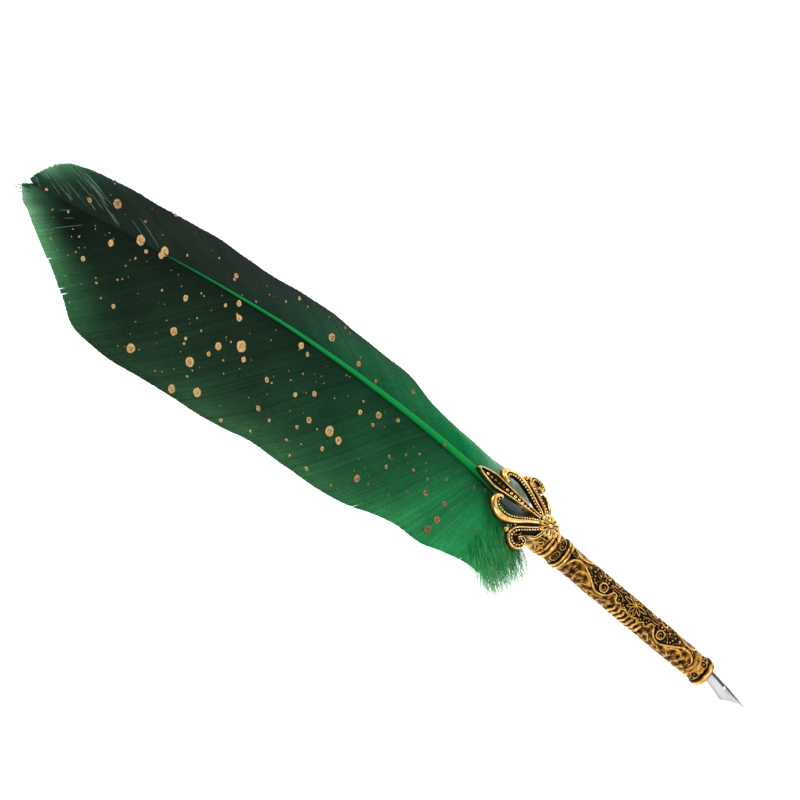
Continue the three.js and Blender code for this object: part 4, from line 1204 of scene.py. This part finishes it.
vane_finish = dyed_barbs()
make_vane("wide_vane_barbs", -1, wide_edge, wide_slope,
          lambda away: 1.15 * away - 0.012 * away ** 2 + 0.00022 * away ** 3,
          (4.6, 190.0),
          [(139.5, 0.2, 0.93), (137.2, 0.24, 0.93), (152.6, 0.16, 0.9), (30.5, 0.12, 0.7),
           (18.0, 0.12, 0.7), (9.5, 0.2, 0.5)],
          wide_dye_and_painted_light, 0.34, ["wide_vane"], curve_through([(0, 0), (120, 0), (150, 0.01), (190, 0.03)]))
make_vane("narrow_vane_barbs", 1, narrow_edge, narrow_slope,
          lambda away: 0.6 * away + 0.075 * away ** 2,
          (-1.0, 189.6), [(150.0, 0.15, 0.5), (60.0, 0.1, 0.6)],
          narrow_dye_and_painted_light, 0.28, ["narrow_vane"],
          curve_through([(0, 0), (120, 0), (145, 0.05), (160, 0.2), (190, 0.24)]))


# ---------------------------------------------------------------------------
# Down: soft loose fibres that hang from the lowest barbs of the wide vane, dyed with it. Each
# is a fine tapered thread, bent as it falls.
# ---------------------------------------------------------------------------
DOWN_FIBRES = 2000
INNER_SHARE = 0.5                  # of the fibres, those that spring from below the vane
FIBRE_RADIUS = 0.08


def read(tree, label):
    """A vector attribute's socket."""
    reader = node(tree, "GeometryNodeInputNamedAttribute", data_type="FLOAT_VECTOR", Name=label)
    return next(out for out in reader.outputs if out.name == "Attribute" and out.enabled)


def on_points(tree, into, shape, output):
    """The shape on every point, turned and sized by the point's attributes, and made real."""
    place = node(tree, "GeometryNodeInstanceOnPoints")
    realize = node(tree, "GeometryNodeRealizeInstances")
    link(tree, into, "Geometry", "Points", place)
    link(tree, shape, output, "Instance", place, "Instances", "Geometry", realize)
    tree.links.new(read(tree, "turn"), place.inputs["Rotation"])
    tree.links.new(read(tree, "size"), place.inputs["Scale"])
    return realize


def fibre_tree():
    """Geometry Nodes: a bent, tapered thread on every point."""
    tree, into, out = group_with("fibres", Thread_radius="Float", Sides="Int")
    arc = node(tree, "GeometryNodeCurveQuadraticBezier", Resolution=9,
               Start=(0, 0, 0), Middle=(0.55, 0, 0.16), End=(1, 0, 0))
    along = node(tree, "GeometryNodeSplineParameter")
    profile = node(tree, "ShaderNodeMath", operation="MULTIPLY")
    thin = node(tree, "GeometryNodeSetCurveRadius")
    keep = keep_as(tree, "along")
    tube = node(tree, "GeometryNodeCurveToMesh", Fill_Caps=True)
    link(tree, along, "Factor", "Value", node(tree, "ShaderNodeMapRange", To_Min=1, To_Max=0.25),
         "Result", 0, profile, "Value", "Radius", thin)
    link(tree, into, "Thread radius", 1, profile)
    link(tree, arc, "Curve", "Curve", thin, "Curve", "Geometry", keep, "Geometry", "Curve", tube)
    link(tree, along, "Factor", "Value", keep)
    link(tree, into, "Sides", "Resolution", node(tree, "GeometryNodeCurvePrimitiveCircle", Radius=1),
         "Curve", "Profile Curve", tube)
    if "Scale" in tube.inputs:
        link(tree, profile, "Value", "Scale", tube)
    return end_group(tree, into, on_points(tree, into, tube, "Mesh"), out)


def point_cloud(name, x, y, rise, **attributes):
    """Loose points at x, y and a rise above the socket, with vector attributes."""
    mesh = bpy.data.meshes.new(name)
    points = np.stack([x, y, SOCKET_TOP + rise], -1)
    mesh.from_pydata((points * MM + np.array([0, 0, NIB_POINT])).tolist(), [], [])
    for label, values in attributes.items():
        layer = mesh.attributes.new(label, "FLOAT_VECTOR", "POINT")
        layer.data.foreach_set("vector", np.asarray(values, np.float32).ravel())
    return put(name, mesh)


def dyed_down():
    """Green at a fibre's root to pale at its end, in patches."""
    material, tree, shader = new_material("dyed_down", Roughness=0.6, Specular_IOR_Level=0.12)
    total = node(tree, "ShaderNodeMath", operation="MULTIPLY_ADD", input_1=0.45)
    shade = colour_ramp(tree, (
        (0.35, srgb(16, 124, 62)), (0.65, srgb(42, 158, 86)), (1.0, srgb(104, 194, 124))))
    link(tree, attribute(tree, "along"), "Fac", 0, total, "Value",
         "Fac", shade, "Color", "Base Color", shader)
    link(tree, grain_over(tree, 220), "Fac", 2, total)
    return material


inner = random.uniform(0, 1, DOWN_FIBRES) < INNER_SHARE
down_root = random.uniform(2.5, 11, DOWN_FIBRES)
down_away = 1.5 + 23.5 * random.uniform(0, 1, DOWN_FIBRES)
inner_x = -6 - 15 * random.uniform(0, 1, DOWN_FIBRES) ** 1.5
inner_rise = 6.0 - 0.16 * inner_x - 10 * random.uniform(0, 1, DOWN_FIBRES) ** 1.3
inner_rise = np.maximum(inner_rise, -4 - 0.9 * (inner_x + 7.5))
down_x = np.where(inner, inner_x, shaft_x(down_root) - down_away)
down_rise = np.where(inner, inner_rise,
                     down_root + wide_slope(down_root) * (1.15 * down_away - 0.012 * down_away ** 2)
                     + random.uniform(-2, 1.5, DOWN_FIBRES))
down_y = np.where(inner, random.uniform(-0.5, 2.5, DOWN_FIBRES),
                  vane_face(down_x, down_rise) + random.uniform(-0.9, 0.8, DOWN_FIBRES))
down_heading = np.radians(np.where(inner, 221, 222)) + random.normal(0, 0.22, DOWN_FIBRES)
down_length = np.where(inner, 5, 4) + np.where(inner, 9, 8) * random.uniform(0, 1, DOWN_FIBRES) ** 1.3
down_turn = np.stack([random.uniform(0, 2 * math.pi, DOWN_FIBRES), -down_heading,
                      random.normal(0, 0.12, DOWN_FIBRES)], -1)
down_size = np.repeat((down_length * MM)[:, None], 3, axis=1)
fibres = fibre_tree()
grow("down_fibres", fibres,
     point_cloud("down_roots", down_x, down_y, down_rise, turn=down_turn, size=down_size),
     dyed_down(), "down", ["wide_down"], Thread_radius=FIBRE_RADIUS / 11, Sides=3)


# ---------------------------------------------------------------------------
# Wisps: a few barbs that have come loose at the feather's tip and stand up past it, each a
# tapered thread like the down's.
# ---------------------------------------------------------------------------
TIP_WISPS = 9
wisp_x = -18.6 + random.uniform(-1.2, 0.8, TIP_WISPS)
wisp_rise = 190.5 + random.uniform(-1.5, 1.0, TIP_WISPS)
wisp_heading = math.radians(118) + random.normal(0, 0.14, TIP_WISPS)
wisp_turn = np.stack([random.uniform(0, 2 * math.pi, TIP_WISPS), -wisp_heading,
                      random.normal(0, 0.1, TIP_WISPS)], -1)
wisp_size = np.repeat((random.uniform(4, 8.5, TIP_WISPS) * MM)[:, None], 3, axis=1)
grow("tip_wisps", fibres,
     point_cloud("wisp_roots", wisp_x, vane_face(wisp_x, wisp_rise), wisp_rise, turn=wisp_turn,
                 size=wisp_size),
     vane_finish, "vane", Thread_radius=FIBRE_RADIUS / 4, Sides=3)


# ---------------------------------------------------------------------------
# Gold flecks: drops of gold paint flicked over the front of the dyed vanes, dry and
# crackled, brighter at their rims. Most are specks; a few are a millimetre or more.
# ---------------------------------------------------------------------------
FLECK_THICK = 0.05
FLECK_LIFT = 0.17                  # of a drop's middle off the vane
SPECKS = 200
big_flecks = [              # x, rise above the socket, radius
    (-5, 165, 1.5), (-27.5, 166.5, 0.8), (-17.5, 161.5, 1.0), (-10, 173, 0.8), (-16, 185.5, 0.5),
    (-10.5, 154, 1.6), (-12.5, 151, 0.6), (-34, 152, 0.6), (4.5, 148, 0.5), (-8.5, 146, 1.4),
    (-10.5, 146.5, 0.9), (-41.5, 141.5, 1.4), (-28.5, 132.5, 1.2), (-17, 134, 0.9), (-44, 125, 1.2),
    (-33.5, 124, 1.5), (-23.5, 118.5, 1.2), (-27.5, 120, 0.7), (-39.5, 117.5, 1.3), (-18.5, 112, 1.7),
    (-21.5, 109.5, 0.8), (-11, 116.5, 1.0), (-10.5, 122, 0.6), (-7, 118.5, 1.0), (0.5, 123, 0.8),
    (-1, 123, 0.5), (-42, 107, 0.6), (-22, 100, 0.8), (-31.5, 98.5, 0.8), (-20, 90, 0.7),
    (-15.5, 84.5, 0.8), (-28.5, 85, 0.6), (-24, 82.5, 0.9), (-22.5, 75, 1.6), (-23, 71, 1.2),
    (-28.5, 74.5, 0.7), (-37, 76, 0.6), (-10.5, 68.5, 0.8), (-11, 63, 0.6), (-7, 62.5, 1.2),
    (-5, 95, 1.0), (-6, 92, 0.7), (4.5, 87, 1.2), (3, 75.5, 0.9), (2, 68, 0.6), (8, 102, 0.6),
    (-29, 60, 1.2), (-4, 56, 0.7), (8, 55, 0.7), (-16, 53.5, 0.5), (-19.5, 53, 0.6), (-14.5, 44.5, 0.5),
    (-18, 37.5, 0.8), (-16.5, 30, 0.8), (-27, 31.5, 1.3), (-22.5, 30, 1.2), (-5, 22.5, 0.6),
    (-0.5, 38.5, 0.5), (-2.5, 18.5, 0.7), (-19.5, 10, 1.0)]
small_rise = random.uniform(14, 182, SPECKS)
small_share = random.uniform(0.05, 0.95, SPECKS)
small_side = random.uniform(0, 1, SPECKS) < 0.76
small_edge = np.where(small_side, wide_edge(small_rise), narrow_edge(small_rise))
small_x = shaft_x(small_rise) + small_share * (small_edge - shaft_x(small_rise))
small_size = 0.14 + 0.32 * random.uniform(0, 1, SPECKS) ** 3


def fleck_tree():
    """Geometry Nodes: a thin ragged drop of paint on every point."""
    tree, into, out = group_with("flecks", Raggedness="Float")
    flat = node(tree, "ShaderNodeVectorMath", operation="MULTIPLY", input_1=(1, 0, 1))
    far = node(tree, "ShaderNodeVectorMath", operation="LENGTH")
    rim = keep_as(tree, "rim")
    smooth = node(tree, "GeometryNodeSetShadeSmooth")
    link(tree, node(tree, "GeometryNodeInputPosition"), "Position",
         0, flat, "Vector", 0, far, "Value", "Value", rim)
    link(tree, node(tree, "GeometryNodeMeshUVSphere", Segments=18, Rings=9, Radius=1), "Mesh",
         "Geometry", rim, "Geometry", "Geometry", smooth)
    centred = node(tree, "ShaderNodeVectorMath", operation="SUBTRACT", input_1=(0.5, 0.5, 0.5))
    level = node(tree, "ShaderNodeVectorMath", operation="MULTIPLY", input_1=(1, 0.05, 1))
    amount = node(tree, "ShaderNodeVectorMath", operation="SCALE")
    shift = node(tree, "GeometryNodeSetPosition")
    link(tree, on_points(tree, into, smooth, "Geometry"), "Geometry", "Geometry", shift)
    link(tree, node(tree, "GeometryNodeInputPosition"), "Position",
         "Vector", node(tree, "ShaderNodeTexNoise", Scale=900, Detail=2), "Color",
         0, centred, "Vector", 0, level, "Vector", 0, amount, "Vector", "Offset", shift)
    link(tree, into, "Raggedness", "Scale", amount)
    return end_group(tree, into, shift, out)


def gold_paint():
    """Crackled gold with a brighter ring and a thin dark outline, duller on flecks lower down and on the
    narrow vane.
    """
    material, tree, shader = new_material("gold_paint", Metallic=0.3, Roughness=0.45)
    crackle = grain_over(tree, 2600, 3)
    lift = colour_ramp(tree, ((0.0, 0.3), (0.5, 0.26), (0.7, 0.5), (0.84, 0.5), (0.94, 0.05)))
    total = node(tree, "ShaderNodeMath")
    aged = node(tree, "ShaderNodeMath", operation="SUBTRACT")
    shade = colour_ramp(tree, (
        (0.0, srgb(66, 42, 18)), (0.32, srgb(122, 84, 40)), (0.5, srgb(174, 134, 78)),
        (0.8, srgb(208, 178, 116))))
    link(tree, crackle, "Fac",
         "Value", node(tree, "ShaderNodeMapRange", From_Min=0.3, From_Max=0.7, To_Max=0.55),
         "Result", 0, total, "Value", 0, aged, "Value", "Fac", shade, "Color", "Base Color", shader)
    link(tree, attribute(tree, "rim"), "Fac", "Fac", lift, "Color", 1, total)
    link(tree, attribute(tree, "age"), "Fac", 1, aged)
    roughen(tree, shader, crackle, Strength=0.4, Distance=0.0002)
    return material


fleck_x, fleck_rise, fleck_size = (
    np.concatenate([big, small]) for big, small in zip(zip(*big_flecks), (small_x, small_rise, small_size)))
on_shaft = np.abs(fleck_x - shaft_x(fleck_rise)) < shaft_radius(fleck_rise) + 0.3
fleck_y = np.where(on_shaft, shaft_y(fleck_rise) - shaft_radius(fleck_rise) * 0.9,
                   vane_face(fleck_x, fleck_rise) - FLECK_LIFT)
fleck_turn = np.zeros((fleck_x.size, 3))
fleck_turn[:, 2] = 2 * VANE_CAMBER * (fleck_x - shaft_x(fleck_rise))
fleck_scale = np.stack([1.18 * fleck_size * random.uniform(0.9, 1.08, fleck_size.size),
                        np.full(fleck_size.size, FLECK_THICK),
                        0.98 * fleck_size * random.uniform(0.9, 1.08, fleck_size.size)], -1) * MM
# Flecks are darker lower down the feather and on the narrow vane, with some spread at random.
fleck_age = 0.42 * np.clip((95 - fleck_rise) / 75, 0, 1) + 0.16 * (fleck_x > shaft_x(fleck_rise) + 1)
fleck_age = np.clip(fleck_age + random.uniform(-0.06, 0.1, fleck_age.size), 0, 0.6)
grow("gold_flecks", fleck_tree(),
     point_cloud("fleck_places", fleck_x, fleck_y, fleck_rise, turn=fleck_turn, size=fleck_scale,
                 age=np.repeat(fleck_age[:, None], 3, axis=1)),
     gold_paint(), "vane", Raggedness=0.75 * MM)

size = {"cad": [list(corner) for corner in cad_box], "visual": [list(corner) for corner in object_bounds()]}
